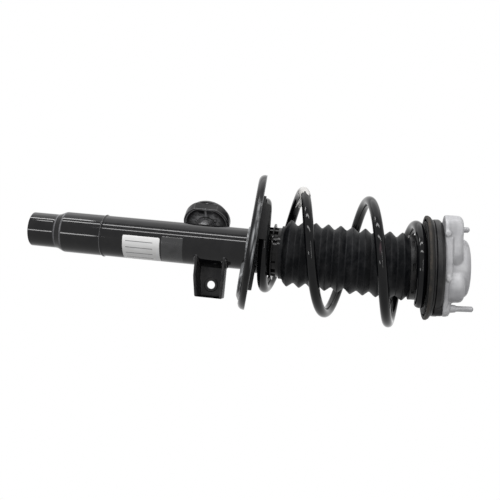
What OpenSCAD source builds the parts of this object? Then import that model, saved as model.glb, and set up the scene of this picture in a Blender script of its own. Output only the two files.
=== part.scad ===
// Suspension strut with its coil spring, dust boot, spring seats and top mount.
// Millimetres. +Z runs up the strut axis, and the origin is on the axis at the
// stop bead, where the upper end of the knuckle clamp comes to rest.

/* [Strut tube] */
// Outside diameter of the strut tube, which the knuckle clamps
tube_d = 55; // [50:0.5:60]
// Wall of the strut tube
tube_wall = 2.5; // [2:0.1:3.5]
// Outside diameter of the drawn-in foot
foot_d = 46; // [44:0.5:48]
// Length of the clamp seat, from the stop bead down to the taper
clamp_len = 54; // [40:1:65]
// Length of the taper between the clamp seat and the foot
taper_len = 10; // [6:1:16]
// Length of the drawn-in foot
foot_len = 37; // [25:1:50]
// Height of the tube's top end above the stop bead
tube_top = 256; // [250:0.5:262]
// How far the stop bead stands proud of the tube
bead_reach = 1.2; // [0.6:0.1:2]
// Thickness of the cap in the foot
base_cap_t = 5; // [3:0.5:8]

/* [Damper] */
// Diameter of the piston rod
rod_d = 22; // [18:0.5:24]
// Bore of the pressure tube
bore_d = 33; // [31:0.5:34]
// Wall of the pressure tube
pressure_wall = 1.5; // [1:0.1:2]
// Running clearance of sliding fits, on the radius
running_gap = 0.05; // [0.02:0.01:0.09]
// Height of the rod guide
guide_h = 18; // [14:1:24]
// Height of the rebound stop on the rod
rebound_stop_h = 13; // [8:1:18]
// Distance from the rebound stop down to the piston
piston_drop = 14; // [8:1:30]
// Height of the piston
piston_h = 15; // [10:1:20]
// Diameter of the rod's tenon that carries the piston
tenon_d = 12; // [10:0.5:14]
// Thickness of one valve disc
disc_t = 0.8; // [0.5:0.1:1.2]
// Number of valve discs on each side of the piston
disc_count = 4; // [2:1:6]
// Height of the foot valve
foot_valve_h = 16; // [12:1:24]
// Height of the piston nut
piston_nut_h = 9; // [7:1:12]
// How far the rod can be pushed in from full extension
stroke = 120; // [90:1:120]

/* [Spring perch] */
// Height of the perch's underside on the strut axis
perch_z = 196.2; // [192:0.1:200]
// Lean of the perch plane, its +X side lower
perch_tilt = 4.5; // [0:0.5:8]
// Roll of the perch plane, its -Y side higher
perch_roll = 6.8; // [0:0.1:8]
// Offset of the perch dish towards -X
perch_offset = 10.5; // [0:0.5:14]
// Outside diameter of the perch dish
perch_d = 181; // [174:1:190]
// Sheet thickness of the perch
perch_t = 3; // [2:0.25:4]
// Height of the perch's upturned rim
perch_rim_h = 10; // [9:0.5:14]
// Outside radius of the bend between the perch's floor and rim
perch_bend_r = 8; // [6:0.5:9]
// Depth of the pressing under the perch's +X side
pressing_drop = 4; // [2:0.5:6]
// Angle that the pressing spans
pressing_angle = 110; // [60:5:130]
// Height of the collar where the perch grips the tube
neck_h = 20.5; // [18:0.5:24]

/* [Coil spring] */
// Wire diameter
wire_d = 13; // [11:0.25:14]
// Mean radius of the lower end coil
coil_low_r = 55.5; // [52:0.5:60]
// Mean radius of the middle coils
coil_mid_r = 76.5; // [70:0.5:80]
// Mean radius of the upper end coil
coil_top_r = 52; // [51:0.5:56]
// Offset of the lower end coil towards -X
coil_offset = 9.5; // [5:0.5:12]
// Thickness of the lower spring pad
low_pad_t = 5; // [3:0.25:6]
// Width of the lower spring pad
low_pad_w = 21; // [16:1:26]
// Height of the lip round the lower pad's outer edge
pad_lip_h = 14; // [4:1:16]
// Height of the pad's heel under the rising coil
pad_heel_h = 7; // [2:1:8]
// Thickness of the upper spring pad
top_pad_t = 4; // [2:0.25:6]
// Width of the upper spring pad
top_pad_w = 16; // [12:0.5:17]

/* [Dust boot] */
// Number of ribs on the boot
rib_count = 10; // [6:1:14]
// Radius over the ribs
rib_r = 45; // [43:0.5:47]
// Depth of the folds between ribs
fold_depth = 7; // [4:0.5:8]
// Wall of the boot
boot_wall = 1.3; // [1:0.1:2]
// Length of the boot collar on the tube
collar_len = 27; // [24:1:29]
// Number of bars round the boot collar
collar_bars = 12; // [8:1:20]

/* [Bump stop] */
// Diameter of the bump stop
bump_d = 48; // [40:1:50]
// Free air between the bump stop and the tube cap at full stroke
bump_spare = 0.5; // [0.5:0.5:4]
// Sheet thickness of the bump stop's cup
cup_t = 2; // [1.5:0.25:3]
// Depth of the bump stop's cup
cup_depth = 16; // [10:1:20]

/* [Upper seat and bearing] */
// Lean of the upper seat, bearing and top mount, their +X side higher
mount_tilt = 4; // [0:0.5:5]
// Height of the top mount's pivot centre
pivot_z = 455; // [452:0.5:460]
// Depth from the pivot centre to the upper seat's underside
seat_depth = 24.5; // [24:0.25:27]
// Wall of the upper seat
seat_wall = 3; // [2:0.25:3.5]
// Outside diameter of the upper seat's rim
seat_d = 135; // [130:1:142]
// Height of the upper seat's rim
seat_rim_h = 6; // [4:0.5:8]
// Outside radius of the upper seat's hub, which the boot grips
hub_r = 36; // [35:0.25:36.5]
// Length of the hub below the seat's underside
hub_len = 23.5; // [18:0.5:25]
// Outside diameter of the bearing rings
bearing_d = 125; // [122:1:128]
// Radius of the circle of balls
ball_circle_r = 50; // [48:0.5:51]
// Diameter of one ball
ball_d = 6; // [5:0.25:6]
// Number of balls
ball_count = 24; // [12:1:30]

/* [Top mount] */
// Circle diameter of the three studs
stud_circle_d = 114; // [110:1:118]
// Diameter of a stud over its thread
stud_d = 7.2; // [6:0.1:8]
// Direction of the first stud round the mount
stud_angle = 211.5; // [180:0.5:240]
// Thickness of the mount's flange
flange_t = 6; // [5:0.5:7]
// Radii of the flange round the studs
lobe_rs = [18, 10.5, 16]; // [8:0.5:19]
// Heights of the lobes' tops above the pivot centre
lobe_tops = [15.7, 10, 10]; // [0:0.1:20]
// Heights of the studs' tips above the pivot centre
stud_tips = [24, 31, 31]; // [20:0.5:40]
// Outside diameter of the mount's housing
housing_d = 76; // [72:1:80]
// Height of the housing's top above the pivot centre
housing_top = 27; // [26.5:0.5:30]
// Outside diameter of the mount's rubber
bush_d = 62; // [58:1:64]
// Diameter of the ball-shaped core
core_d = 32; // [29:0.5:33]
// Half the height of the core
core_half_h = 10; // [9.5:0.25:10]
// Diameter of the rod's threaded end
thread_d = 14; // [12:0.5:16]

/* [Hose bracket] */
// Height of the bracket's lower edge above the stop bead
bracket_z = 133.5; // [120:0.5:140]
// Width of the bracket along the strut
bracket_w = 38.5; // [32:0.5:45]
// Distance from the strut axis to the bracket's far edge
bracket_reach = 68; // [60:1:80]
// Sheet thickness of the bracket
bracket_t = 3.5; // [2.5:0.25:4.5]
// Depth of the bracket's flanges
bracket_depth = 25.5; // [22:0.5:26]
// Diameter of the bracket's hole
hole_d = 10.6; // [8:0.1:12]
// Distance from the strut axis to the hole
hole_x = 52; // [48:0.5:53]

/* [Damping valve] */
// Height of the valve above the stop bead
valve_z = 133; // [120:0.5:140]
// Direction of the valve round the tube
valve_angle = 135; // [120:1:150]
// Diameter of the valve's neck
neck_d = 26; // [20:1:30]
// Distance from the strut axis to the valve can's inner face
can_reach = 40; // [34:0.5:44]
// Diameter of the valve can
can_d = 64; // [56:1:68]
// Depth of the valve can
can_t = 13; // [10:0.5:18]
// Thickness of the cover on the can
cover_t = 5; // [3:0.5:8]

/* [Hidden] */
$fn = 96;

rest_gap = 0.3;                              // between curved faces of two bodies
cut = 1;                                     // how far a cutter runs past a face

tube_r = tube_d / 2;
tube_in_r = tube_r - tube_wall;
foot_r = foot_d / 2;
foot_in_r = foot_r - tube_wall;
taper_low = -clamp_len - taper_len;
foot_end = taper_low - foot_len;

rod_r = rod_d / 2;
bore_r = bore_d / 2;
tenon_r = tenon_d / 2;
thread_r = thread_d / 2;
pressure_r = bore_r + pressure_wall;
guide_top = tube_top - 2;
guide_low = guide_top - guide_h;
guide_lip = 3;                               // depth of the guide's seat in the pressure tube
bush_t = 1.5;
seal_h = 5;
rebound_top = guide_low - rest_gap;
rebound_low = rebound_top - rebound_stop_h;
discs_h = disc_count * disc_t;
piston_top = rebound_low - piston_drop;
piston_low = piston_top - piston_h;
nut_low = piston_low - discs_h - piston_nut_h;
rod_low = nut_low - 2;
foot_valve_low = foot_end + base_cap_t;
foot_valve_top = foot_valve_low + foot_valve_h;
pressure_low = foot_valve_top - 5;

cap_t = 4;
cap_top = tube_top + cap_t;
cap_skirt = 8;
cap_r = tube_r + 2;
neck_top = perch_z + perch_t + neck_h;
collar_top = neck_top + collar_len;
collar_r = tube_r + 5;
collar_lip_r = collar_r + 0.8;

floor_h = perch_t;                           // heights in the perch's own frame
low_pad_top = floor_h + low_pad_t;
wire_r = wire_d / 2;
coil_low_h = low_pad_top + rest_gap + wire_r;
low_pad_r = coil_low_r - low_pad_w / 2;

seat_low = -seat_depth;                      // heights in the mount's own frame
seat_top = seat_low + seat_wall;
top_pad_low = seat_low - top_pad_t;
coil_top_h = top_pad_low - rest_gap - wire_r;
hub_low = seat_low - hub_len;
bearing_r = bearing_d / 2;
ball_r = ball_d / 2;
ball_rise = 8;                               // from the seat's top to the balls' centres
ball_h = seat_top + ball_rise;
race_gap = 1.6;                              // between the two race faces
race_w = 10;                                 // from the circle of balls to the races' bores
race_t = 4;                                  // from the balls' centres to the upper race's top
race_in_r = ball_circle_r - race_w;
skirt_t = 3.5;
skirt_in_r = bearing_r - skirt_t;
skirt_gap = 0.6;                             // between the cover's skirt and the lower race
skirt_low = seat_top + race_t;
upper_race_top = ball_h + race_t;
cover_roof_t = 2;
flange_low = upper_race_top + cover_roof_t;

seat_r = seat_d / 2;
rim_w = 5;                                   // width of the seat's rim
rim_in_r = seat_r - rim_w;
rim_low = seat_low - seat_rim_h * 0.47;
rim_top = rim_low + seat_rim_h;
rim_edge = 1;                                // chamfers of the seat's rim

core_top = pivot_z + core_half_h;
washer_t = 2.5;
rod_nut_h = 11;
rod_top = core_top + washer_t + rod_nut_h + 2;
cup_top = pivot_z - core_half_h;
cup_r = bump_d / 2 + cup_t + rest_gap;
bump_top = cup_top - cup_t;
bump_low = cap_top + stroke + bump_spare;
bump_r = bump_d / 2;

stud_r = stud_d / 2;
stud_circle_r = stud_circle_d / 2;
shank_r = stud_r + 0.4;                      // the splined part that is pressed into the flange
stud_chamfer = 1.2;
housing_r = housing_d / 2;
roof_t = 7;                                  // wall of the housing over the rubber
bush_top = housing_top - roof_t;
bush_r = bush_d / 2;
core_r = core_d / 2;

// The mount's own frame: its origin is the pivot centre and its Z axis is the bearing's.
module in_mount() {
    translate([0, 0, pivot_z]) rotate([0, -mount_tilt, 0]) children();
}

// The perch's own frame: its Z axis is square to the dish, and Z = 0 is the underside.
module in_perch(offset = perch_offset) {
    translate([0, 0, perch_z]) rotate([-perch_roll, perch_tilt, 0]) translate([-offset, 0, 0]) children();
}

// The damping valve's frame: Z points out of the tube towards the valve.
module in_valve() {
    translate([0, 0, valve_z]) rotate([0, 0, valve_angle]) rotate([0, 90, 0]) children();
}

module ring(outer_r, inner_r, low, high) {
    difference() {
        translate([0, 0, low]) cylinder(r = outer_r, h = high - low);
        translate([0, 0, low - cut]) cylinder(r = inner_r, h = high - low + 2 * cut);
    }
}

module disc(r, low, high) {
    translate([0, 0, low]) cylinder(r = r, h = high - low);
}

// ---- Strut tube and damper -------------------------------------------------

module reservoir_tube() {
    color("#17181a") difference() {
        union() {
            rotate_extrude() polygon([
                [foot_r, foot_end], [foot_r, taper_low], [tube_r, -clamp_len], [tube_r, tube_top],
                [tube_in_r, tube_top], [tube_in_r, -clamp_len], [foot_in_r, taper_low],
                [foot_in_r, foot_end]
            ]);
            rotate_extrude() polygon([
                [tube_r - tube_wall / 2, 0], [tube_r, 0], [tube_r + bead_reach, bead_reach],
                [tube_r + bead_reach, 2 * bead_reach], [tube_r, 3 * bead_reach],
                [tube_r - tube_wall / 2, 3 * bead_reach]
            ]);
        }
        in_valve() disc(neck_d / 4, 0, tube_r + cut);
    }
}

module base_cap() {
    color("#1c1d1f") difference() {
        disc(foot_in_r, foot_end, foot_end + base_cap_t);
        disc(foot_in_r - 4, foot_end - cut, foot_end + base_cap_t / 3);
    }
}

module foot_valve() {
    color("#b8b9bb") difference() {
        union() {
            disc(foot_in_r - 1, foot_valve_low, pressure_low);
            disc(bore_r, pressure_low, foot_valve_top);
        }
        for (a = [0 : 60 : 300]) rotate([0, 0, a]) translate([bore_r * 0.6, 0, 0])
            disc(2, foot_valve_low - cut, foot_valve_top + cut);
    }
}

module pressure_tube() {
    color("#9b9da0") ring(pressure_r, bore_r, pressure_low, guide_low + guide_lip);
}

module rod_guide() {
    color("#8f9195") difference() {
        union() {
            disc(bore_r, guide_low, guide_low + guide_lip);
            disc(tube_in_r, guide_low + guide_lip, guide_top);
        }
        disc(rod_r + bush_t, guide_low - cut, guide_top + cut);
        disc(rod_r + 5, guide_top - seal_h, guide_top + cut);
    }
}

module rod_guide_bush() {
    color("#a88a4a") ring(rod_r + bush_t, rod_r + running_gap, guide_low, guide_top - seal_h);
}

module rod_seal() {
    color("#151515") ring(rod_r + 5, rod_r + running_gap, guide_top - seal_h, guide_top);
}

module tube_cap() {
    color("#1a1b1d") difference() {
        disc(cap_r, tube_top - cap_skirt, cap_top);
        disc(tube_r, tube_top - cap_skirt - cut, tube_top);
        disc(rod_r + 1, tube_top - cut, cap_top + cut);
    }
}

module piston_rod() {
    color("#d5d8da") union() {
        disc(tenon_r, rod_low, piston_top + discs_h);
        disc(rod_r, piston_top + discs_h, cup_top - cup_t);
        disc(thread_r, cup_top - cup_t, rod_top);
    }
}

module piston() {
    color("#808286") difference() {
        disc(bore_r - 0.4, piston_low, piston_top);
        disc(tenon_r, piston_low - cut, piston_top + cut);
        ring(bore_r + cut, bore_r - 2, piston_low + piston_h / 4, piston_top - piston_h / 4);
        for (a = [0 : 60 : 300]) rotate([0, 0, a]) translate([bore_r * 0.62, 0, 0])
            disc(1.8, piston_low - cut, piston_top + cut);
    }
}

module piston_band() {
    color("#5b4a33")
        ring(bore_r - running_gap, bore_r - 2, piston_low + piston_h / 4, piston_top - piston_h / 4);
}

module valve_discs() {
    color("#c2c4c6") for (i = [0 : disc_count - 1]) {
        ring(bore_r - 3 - i, tenon_r, piston_top + i * disc_t, piston_top + (i + 1) * disc_t);
        ring(bore_r - 3 - i, tenon_r, piston_low - (i + 1) * disc_t, piston_low - i * disc_t);
    }
}

module piston_nut() {
    color("#a9abad") difference() {
        translate([0, 0, nut_low]) cylinder(r = tenon_r * 1.7, h = piston_nut_h, $fn = 6);
        disc(tenon_r, nut_low - cut, nut_low + piston_nut_h + cut);
    }
}

module rebound_stop() {
    color("#202020") ring(bore_r - 1.5, rod_r, rebound_low, rebound_top);
}

// ---- Perch, spring and boot ------------------------------------------------

// A wedge that spans an angle to both sides of the +X direction.
module wedge(angle, reach, low, high) {
    translate([0, 0, low]) linear_extrude(high - low) polygon(concat(
        [[0, 0]], [for (i = [-4 : 4]) 2 * reach * [cos(angle * i / 8), sin(angle * i / 8)]]
    ));
}

module spring_perch() {
    rim_r = perch_d / 2;
    wall_r = rim_r - perch_t;
    bend_x = rim_r - perch_bend_r;
    in_bend_r = perch_bend_r - perch_t;
    pressing_r = bend_x - 1;
    color("#1b1c1e") difference() {
        union() {
            in_perch() rotate_extrude() polygon(concat(
                [[0, 0]],
                [for (a = [-90 : 15 : 0]) [bend_x + perch_bend_r * cos(a), perch_bend_r * (1 + sin(a))]],
                [[rim_r, perch_rim_h], [wall_r, perch_rim_h]],
                [for (a = [0 : -15 : -90]) [bend_x + in_bend_r * cos(a), perch_bend_r + in_bend_r * sin(a)]],
                [[0, floor_h]]
            ));
            in_perch() rotate([0, 0, -pressing_angle / 2]) rotate_extrude(angle = pressing_angle)
                polygon([
                    [low_pad_r, floor_h / 2], [low_pad_r, 1 - pressing_drop], [low_pad_r + 2, -pressing_drop],
                    [pressing_r - 8, -pressing_drop], [pressing_r - 3, 1 - pressing_drop],
                    [pressing_r, floor_h / 2]
                ]);
            disc(tube_r + perch_t, perch_z + perch_t / 2, neck_top);
        }
        disc(tube_r, perch_z - 2 * perch_rim_h, neck_top + cut);
    }
}

module lower_spring_pad() {
    outer_r = low_pad_r + low_pad_w;
    lip_r = outer_r - 0.5;
    lip_in_r = coil_low_r + wire_r + 3 * rest_gap;
    color("#141414") in_perch(coil_offset) {
        ring(outer_r, low_pad_r, floor_h, low_pad_top);
        intersection() {
            ring(lip_r, lip_in_r, floor_h + low_pad_t / 2, low_pad_top + pad_lip_h);
            rotate([0, 0, 241]) wedge(46, outer_r, floor_h, low_pad_top + pad_lip_h + cut);
        }
        intersection() {
            ring(lip_r, lip_in_r, floor_h + low_pad_t / 2, low_pad_top + 0.4 * pad_lip_h);
            rotate([0, 0, 212]) wedge(34, outer_r, floor_h, low_pad_top + pad_lip_h + cut);
        }
        intersection() {
            ring(lip_in_r, coil_low_r - wire_r, floor_h + low_pad_t / 2, low_pad_top + pad_heel_h);
            rotate([0, 0, 328]) wedge(54, outer_r, floor_h, low_pad_top + pad_heel_h + cut);
        }
    }
}

// The spring's heights and radii are given at each half turn, as shares of its span,
// and a smooth curve runs through them.
knot_angle = 180;
knot_rise = [0, 0, 0.08, 0.227, 0.46, 0.669, 0.837, 0.985, 1, 1];
knot_swell = [0, 0, 0.05, 1, 1, 1, 1, 0.08, 0, 0];
start_angle = 130;
end_angle = 1395;
ring_step = 10;                              // degrees of turn from one ring to the next
wire_sides = 8;

function curve(p0, p1, p2, p3, t) =
    p1 + t * (p2 - p0) / 2 + t * t * (p0 - 2.5 * p1 + 2 * p2 - p3 / 2)
    + t * t * t * (1.5 * p1 - 1.5 * p2 + (p3 - p0) / 2);

function along(knots, angle) =
    let (k = floor(angle / knot_angle), t = angle / knot_angle - k)
    curve(knots[max(k - 1, 0)], knots[k], knots[k + 1], knots[k + 2], t);

// The lower and upper end coils' centres, in the strut's frame.
coil_low = [
    coil_low_h * cos(perch_roll) * sin(perch_tilt) - coil_offset * cos(perch_tilt),
    coil_low_h * sin(perch_roll),
    perch_z + coil_low_h * cos(perch_roll) * cos(perch_tilt) + coil_offset * sin(perch_tilt)
];
coil_top = [-coil_top_h * sin(mount_tilt), 0, pivot_z + coil_top_h * cos(mount_tilt)];

function coil_point(angle) =
    let (
        rise = min(1, max(0, along(knot_rise, angle))),
        swell = min(1, max(0, along(knot_swell, angle))),
        end_r = coil_low_r + (coil_top_r - coil_low_r) * rise,
        r = end_r + (coil_mid_r - end_r) * swell,
        lean = perch_tilt + (-mount_tilt - perch_tilt) * rise,
        roll = perch_roll * pow(1 - rise, 6)
    )
    coil_low + (coil_top - coil_low) * rise + r * [
        cos(angle) * cos(lean) - sin(angle) * sin(roll) * sin(lean),
        sin(angle) * cos(roll),
        -cos(angle) * sin(lean) - sin(angle) * sin(roll) * cos(lean)
    ];

function unit(v) = v / norm(v);

coil_turn = [for (a = [start_angle : ring_step : end_angle]) coil_point(a)];
coil_last = len(coil_turn) - 1;
coil_path = concat(
    [coil_turn[0] - wire_d * unit(coil_turn[1] - coil_turn[0])],
    coil_turn,
    [coil_turn[coil_last] + wire_d * unit(coil_turn[coil_last] - coil_turn[coil_last - 1])]
);

// One ring of points square to the path at its point i.
function path_ring(path, i, r, sides) =
    let (
        before = path[max(i - 1, 0)], after = path[min(i + 1, len(path) - 1)],
        ahead = unit(after - before),
        out = unit(cross([0, 0, 1], ahead)),
        up = cross(ahead, out)
    )
    [for (s = [0 : sides - 1]) let (a = 360 * s / sides) path[i] + r * (cos(a) * out + sin(a) * up)];

// The triangles of a closed tube of rings, with flat ends.
function tube_faces(rings, sides) = concat(
    [for (i = [0 : rings - 2], s = [0 : sides - 1])
        [i * sides + s, (i + 1) * sides + s, i * sides + (s + 1) % sides]],
    [for (i = [0 : rings - 2], s = [0 : sides - 1])
        [(i + 1) * sides + s, (i + 1) * sides + (s + 1) % sides, i * sides + (s + 1) % sides]],
    [for (s = [1 : sides - 2]) [0, s, s + 1]],
    [for (s = [1 : sides - 2]) [(rings - 1) * sides, (rings - 1) * sides + s + 1, (rings - 1) * sides + s]]
);

half_turn = floor(knot_angle / ring_step);
coil_gap = min([
    for (i = [0 : len(coil_path) - 1], j = [i + half_turn : 1 : len(coil_path) - 1])
        norm(coil_path[i] - coil_path[j])
]) - wire_d;
echo(least_gap_of_the_spring_to_itself_mm = coil_gap);

module coil_spring() {
    color("#0d0e10") polyhedron(
        points = [for (i = [0 : len(coil_path) - 1]) each path_ring(coil_path, i, wire_r, wire_sides)],
        faces = tube_faces(len(coil_path), wire_sides)
    );
}

// The boot's rings: how far along the boot each lies, and its outside radius.
// From 0 to 1 they run from the collar to the seat's hub, and from 1 to 2 along the hub.
boot_sides = 28;
flat_share = cos(180 / boot_sides);          // distance to a flat as a share of the corner's
boot_low_r = (collar_lip_r + rest_gap) / flat_share + boot_wall;
boot_top_r = (hub_r + rest_gap) / flat_share + boot_wall;
boot_low_z = collar_top - 2;
cuff_h = 10;
boot_top_h = hub_low + cuff_h;
first_rib = 0.05;
last_rib = 0.955;
rib_pitch = (last_rib - first_rib) / (rib_count - 1);
boot_rings = concat(
    [[0, boot_low_r], [0.012, rib_r - fold_depth / 2]],
    [for (i = [0 : rib_count - 1]) each [
        [first_rib + i * rib_pitch, rib_r],
        if (i < rib_count - 1) [first_rib + (i + 0.5) * rib_pitch, rib_r - fold_depth]
    ]],
    [[1, boot_top_r], [2, boot_top_r]]
);

// The boot's rings lean from square to the tube to square to the mount.
function boot_point(share, r, angle) =
    let (
        low = [0, 0, boot_low_z],
        hub = [-hub_low * sin(mount_tilt), 0, pivot_z + hub_low * cos(mount_tilt)],
        lean = -mount_tilt * min(1, share)
    )
    low + (hub - low) * min(1, share) + max(0, share - 1) * cuff_h * [sin(lean), 0, cos(lean)]
    + r * [cos(angle) * cos(lean), sin(angle), -cos(angle) * sin(lean)];

module dust_boot() {
    n = len(boot_rings);
    skin = [for (ring = boot_rings, s = [0 : boot_sides - 1])
        boot_point(ring[0], ring[1], 360 * s / boot_sides)];
    lining = [for (ring = boot_rings, s = [0 : boot_sides - 1])
        boot_point(ring[0], ring[1] - boot_wall, 360 * s / boot_sides)];
    m = n * boot_sides;
    color("#26282b") polyhedron(
        points = concat(skin, lining),
        faces = concat(
            [for (i = [0 : n - 2], s = [0 : boot_sides - 1]) let (t = (s + 1) % boot_sides)
                [i * boot_sides + s, (i + 1) * boot_sides + s, i * boot_sides + t]],
            [for (i = [0 : n - 2], s = [0 : boot_sides - 1]) let (t = (s + 1) % boot_sides)
                [(i + 1) * boot_sides + s, (i + 1) * boot_sides + t, i * boot_sides + t]],
            [for (i = [0 : n - 2], s = [0 : boot_sides - 1]) let (t = (s + 1) % boot_sides)
                [m + i * boot_sides + s, m + i * boot_sides + t, m + (i + 1) * boot_sides + s]],
            [for (i = [0 : n - 2], s = [0 : boot_sides - 1]) let (t = (s + 1) % boot_sides)
                [m + (i + 1) * boot_sides + s, m + i * boot_sides + t, m + (i + 1) * boot_sides + t]],
            [for (s = [0 : boot_sides - 1]) let (t = (s + 1) % boot_sides) [s, t, m + s]],
            [for (s = [0 : boot_sides - 1]) let (t = (s + 1) % boot_sides) [t, m + t, m + s]],
            [for (s = [0 : boot_sides - 1]) let (t = (s + 1) % boot_sides, e = (n - 1) * boot_sides)
                [e + s, m + e + s, e + t]],
            [for (s = [0 : boot_sides - 1]) let (t = (s + 1) % boot_sides, e = (n - 1) * boot_sides)
                [e + t, m + e + s, m + e + t]]
        )
    );
}

module boot_collar() {
    fin_low = neck_top + collar_len * 0.42;
    color("#1a1b1d") {
        ring(tube_r + 1.4, tube_r, neck_top, collar_top);
        ring(collar_r, tube_r + 1, neck_top, neck_top + 4);
        ring(collar_r + 4.5, tube_r + 1, fin_low, fin_low + 1.5);
        ring(collar_r, tube_r + 1, collar_top - 9, collar_top - 4);
        ring(collar_lip_r, tube_r + 1, collar_top - 4, collar_top);
        for (i = [0 : collar_bars - 1]) rotate([0, 0, 360 * i / collar_bars])
            translate([tube_r + 0.5, -1.5, neck_top]) cube([collar_r - tube_r - 1, 3, collar_len - 5]);
    }
}

module boot_clip_ring() {
    inner_r = boot_top_r + rest_gap;
    outer_r = inner_r + 4;
    low = hub_low + 0.5;
    color("#202226") in_mount() difference() {
        ring(outer_r, inner_r, low, boot_top_h + 1);
        for (a = [0 : 45 : 315]) rotate([0, 0, a]) translate([outer_r - 2, -5, low + 2.5]) cube([4, 10, 3.5]);
    }
}

// ---- Hose bracket and damping valve ----------------------------------------

module hose_bracket() {
    face_y = -2;
    back_y = face_y + bracket_t;
    near_y = back_y - bracket_depth;
    high = bracket_z + bracket_w;
    flare = 4;
    pad_r = hole_d / 2 + 4.5;
    color("#191a1c") difference() {
        union() {
            translate([tube_r / 2, 0, 0]) rotate([90, 0, 90]) linear_extrude(bracket_reach - tube_r / 2)
                polygon([
                    [near_y, bracket_z - flare], [back_y - 2, bracket_z - 0.3], [back_y, bracket_z + 1.7],
                    [back_y, high - 2], [back_y - 2, high], [near_y, high], [near_y, high - bracket_t],
                    [face_y, high - bracket_t], [face_y, bracket_z + bracket_t],
                    [near_y, bracket_z - flare + bracket_t]
                ]);
            translate([hole_x, face_y, bracket_z + bracket_w / 2]) rotate([90, 0, 0])
                cylinder(r = pad_r, h = 0.8);
        }
        disc(tube_r, bracket_z - 10, high + cut);
        translate([hole_x, back_y + cut, bracket_z + bracket_w / 2]) rotate([90, 0, 0])
            cylinder(d = hole_d, h = bracket_t + 2 * cut + 1);
    }
}

module valve_neck() {
    color("#8d8f92") difference() {
        in_valve() ring(neck_d / 2, neck_d / 4, tube_r / 2, can_reach);
        disc(tube_r, valve_z - neck_d, valve_z + neck_d);
    }
}

module valve_can() {
    flat = can_d / 2 - 4;
    recess = 1.5;
    color("#1b1c1e") in_valve() difference() {
        disc(can_d / 2, can_reach, can_reach + can_t);
        ring(can_d / 2 - 4, neck_d / 2, can_reach - cut, can_reach + recess);
        translate([-can_d, flat, can_reach - cut]) cube([2 * can_d, can_d, can_t + 2 * cut]);
    }
}

module valve_cover() {
    color("#161719") in_valve() difference() {
        translate([0, 0, can_reach + can_t]) cylinder(r1 = can_d / 2 - 2, r2 = can_d / 2 - 4, h = cover_t);
        disc(can_d / 2 - 10, can_reach + can_t + cover_t - 1, can_reach + can_t + cover_t + cut);
    }
}

module valve_connector() {
    top = can_reach + can_t + cover_t - 1;
    color("#121315") in_valve() translate([0, 0, top]) difference() {
        translate([-8, -6, 0]) cube([16, 12, 11]);
        translate([-6, -4, 3]) cube([12, 8, 9]);
    }
}

// ---- Bump stop, upper seat and bearing -------------------------------------

module bump_stop() {
    waist = bump_r - 5;
    h = bump_top - bump_low;
    color("#3a352a") difference() {
        translate([0, 0, bump_low]) rotate_extrude() polygon([
            [0, 0], [bump_r - 9, 0], [bump_r - 6, h * 0.1], [bump_r - 6, h * 0.2], [waist - 4, h * 0.28],
            [bump_r - 3, h * 0.36], [bump_r - 3, h * 0.5], [waist - 2, h * 0.58], [bump_r, h * 0.68],
            [bump_r, h], [0, h]
        ]);
        disc(rod_r + rest_gap, bump_low - cut, bump_top + cut);
    }
}

module bump_stop_cup() {
    color("#6f7174") difference() {
        disc(cup_r, cup_top - cup_depth, cup_top);
        disc(cup_r - cup_t, cup_top - cup_depth - cut, cup_top - cup_t);
        disc(thread_r, cup_top - cup_t - cut, cup_top + cut);
    }
}

module upper_spring_seat() {
    color("#4a443c") in_mount() rotate_extrude() polygon([
        [hub_r - seat_wall, hub_low], [hub_r, hub_low], [hub_r, seat_low], [rim_in_r, seat_low],
        [rim_in_r + rim_edge, rim_low], [seat_r - rim_edge, rim_low], [seat_r, rim_low + rim_edge],
        [seat_r, rim_low + seat_rim_h / 2], [seat_r - 2 * rim_edge, rim_top], [rim_in_r + rim_edge, rim_top],
        [rim_in_r, seat_top], [hub_r - seat_wall, seat_top]
    ]);
}

// Room for the seat's rim in the pieces that lie against the seat.
module rim_room() {
    ring(seat_r + rest_gap, rim_in_r + running_gap, rim_low - rest_gap, rim_top + rest_gap);
}

module upper_spring_pad() {
    color("#161616") in_mount() difference() {
        ring(coil_top_r + top_pad_w / 2, coil_top_r - top_pad_w / 2, top_pad_low, seat_low);
        rim_room();
    }
}

module ball_groove() {
    translate([0, 0, ball_h]) rotate_extrude() translate([ball_circle_r, 0]) circle(r = ball_r + rest_gap);
}

module bearing_lower_race() {
    color("#1c1d1f") in_mount() difference() {
        union() {
            ring(bearing_r, race_in_r, seat_top, skirt_low - skirt_gap);
            ring(skirt_in_r - skirt_gap, race_in_r, seat_top, ball_h - race_gap / 2);
        }
        ball_groove();
        rim_room();
    }
}

module bearing_cage() {
    half = race_gap / 2 - rest_gap;
    color("#d8d2c0") in_mount() difference() {
        ring(ball_circle_r + ball_r + 2, ball_circle_r - ball_r - 2, ball_h - half, ball_h + half);
        for (i = [0 : ball_count - 1]) rotate([0, 0, 360 * i / ball_count]) translate([ball_circle_r, 0, 0])
            disc(ball_r + running_gap, ball_h - cut, ball_h + cut);
    }
}

module bearing_balls() {
    color("#c9cbce") in_mount() for (i = [0 : ball_count - 1]) rotate([0, 0, 360 * i / ball_count])
        translate([ball_circle_r, 0, ball_h]) sphere(r = ball_r);
}

module bearing_upper_race() {
    color("#2a2b2d") in_mount() difference() {
        ring(skirt_in_r, race_in_r, ball_h + race_gap / 2, upper_race_top);
        ball_groove();
    }
}

module stud_place(i) {
    rotate([0, 0, stud_angle + 120 * i]) translate([stud_circle_r, 0, 0]) children();
}

module bearing_cover() {
    ear_r = 10;
    color("#191a1c") in_mount() difference() {
        union() {
            disc(bearing_r, skirt_low, flange_low);
            stud_place(1) disc(ear_r, skirt_low, flange_low);
        }
        disc(skirt_in_r, skirt_low - cut, upper_race_top);
        disc(race_in_r, skirt_low - cut, flange_low + cut);
    }
}

// ---- Top mount -------------------------------------------------------------

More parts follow.
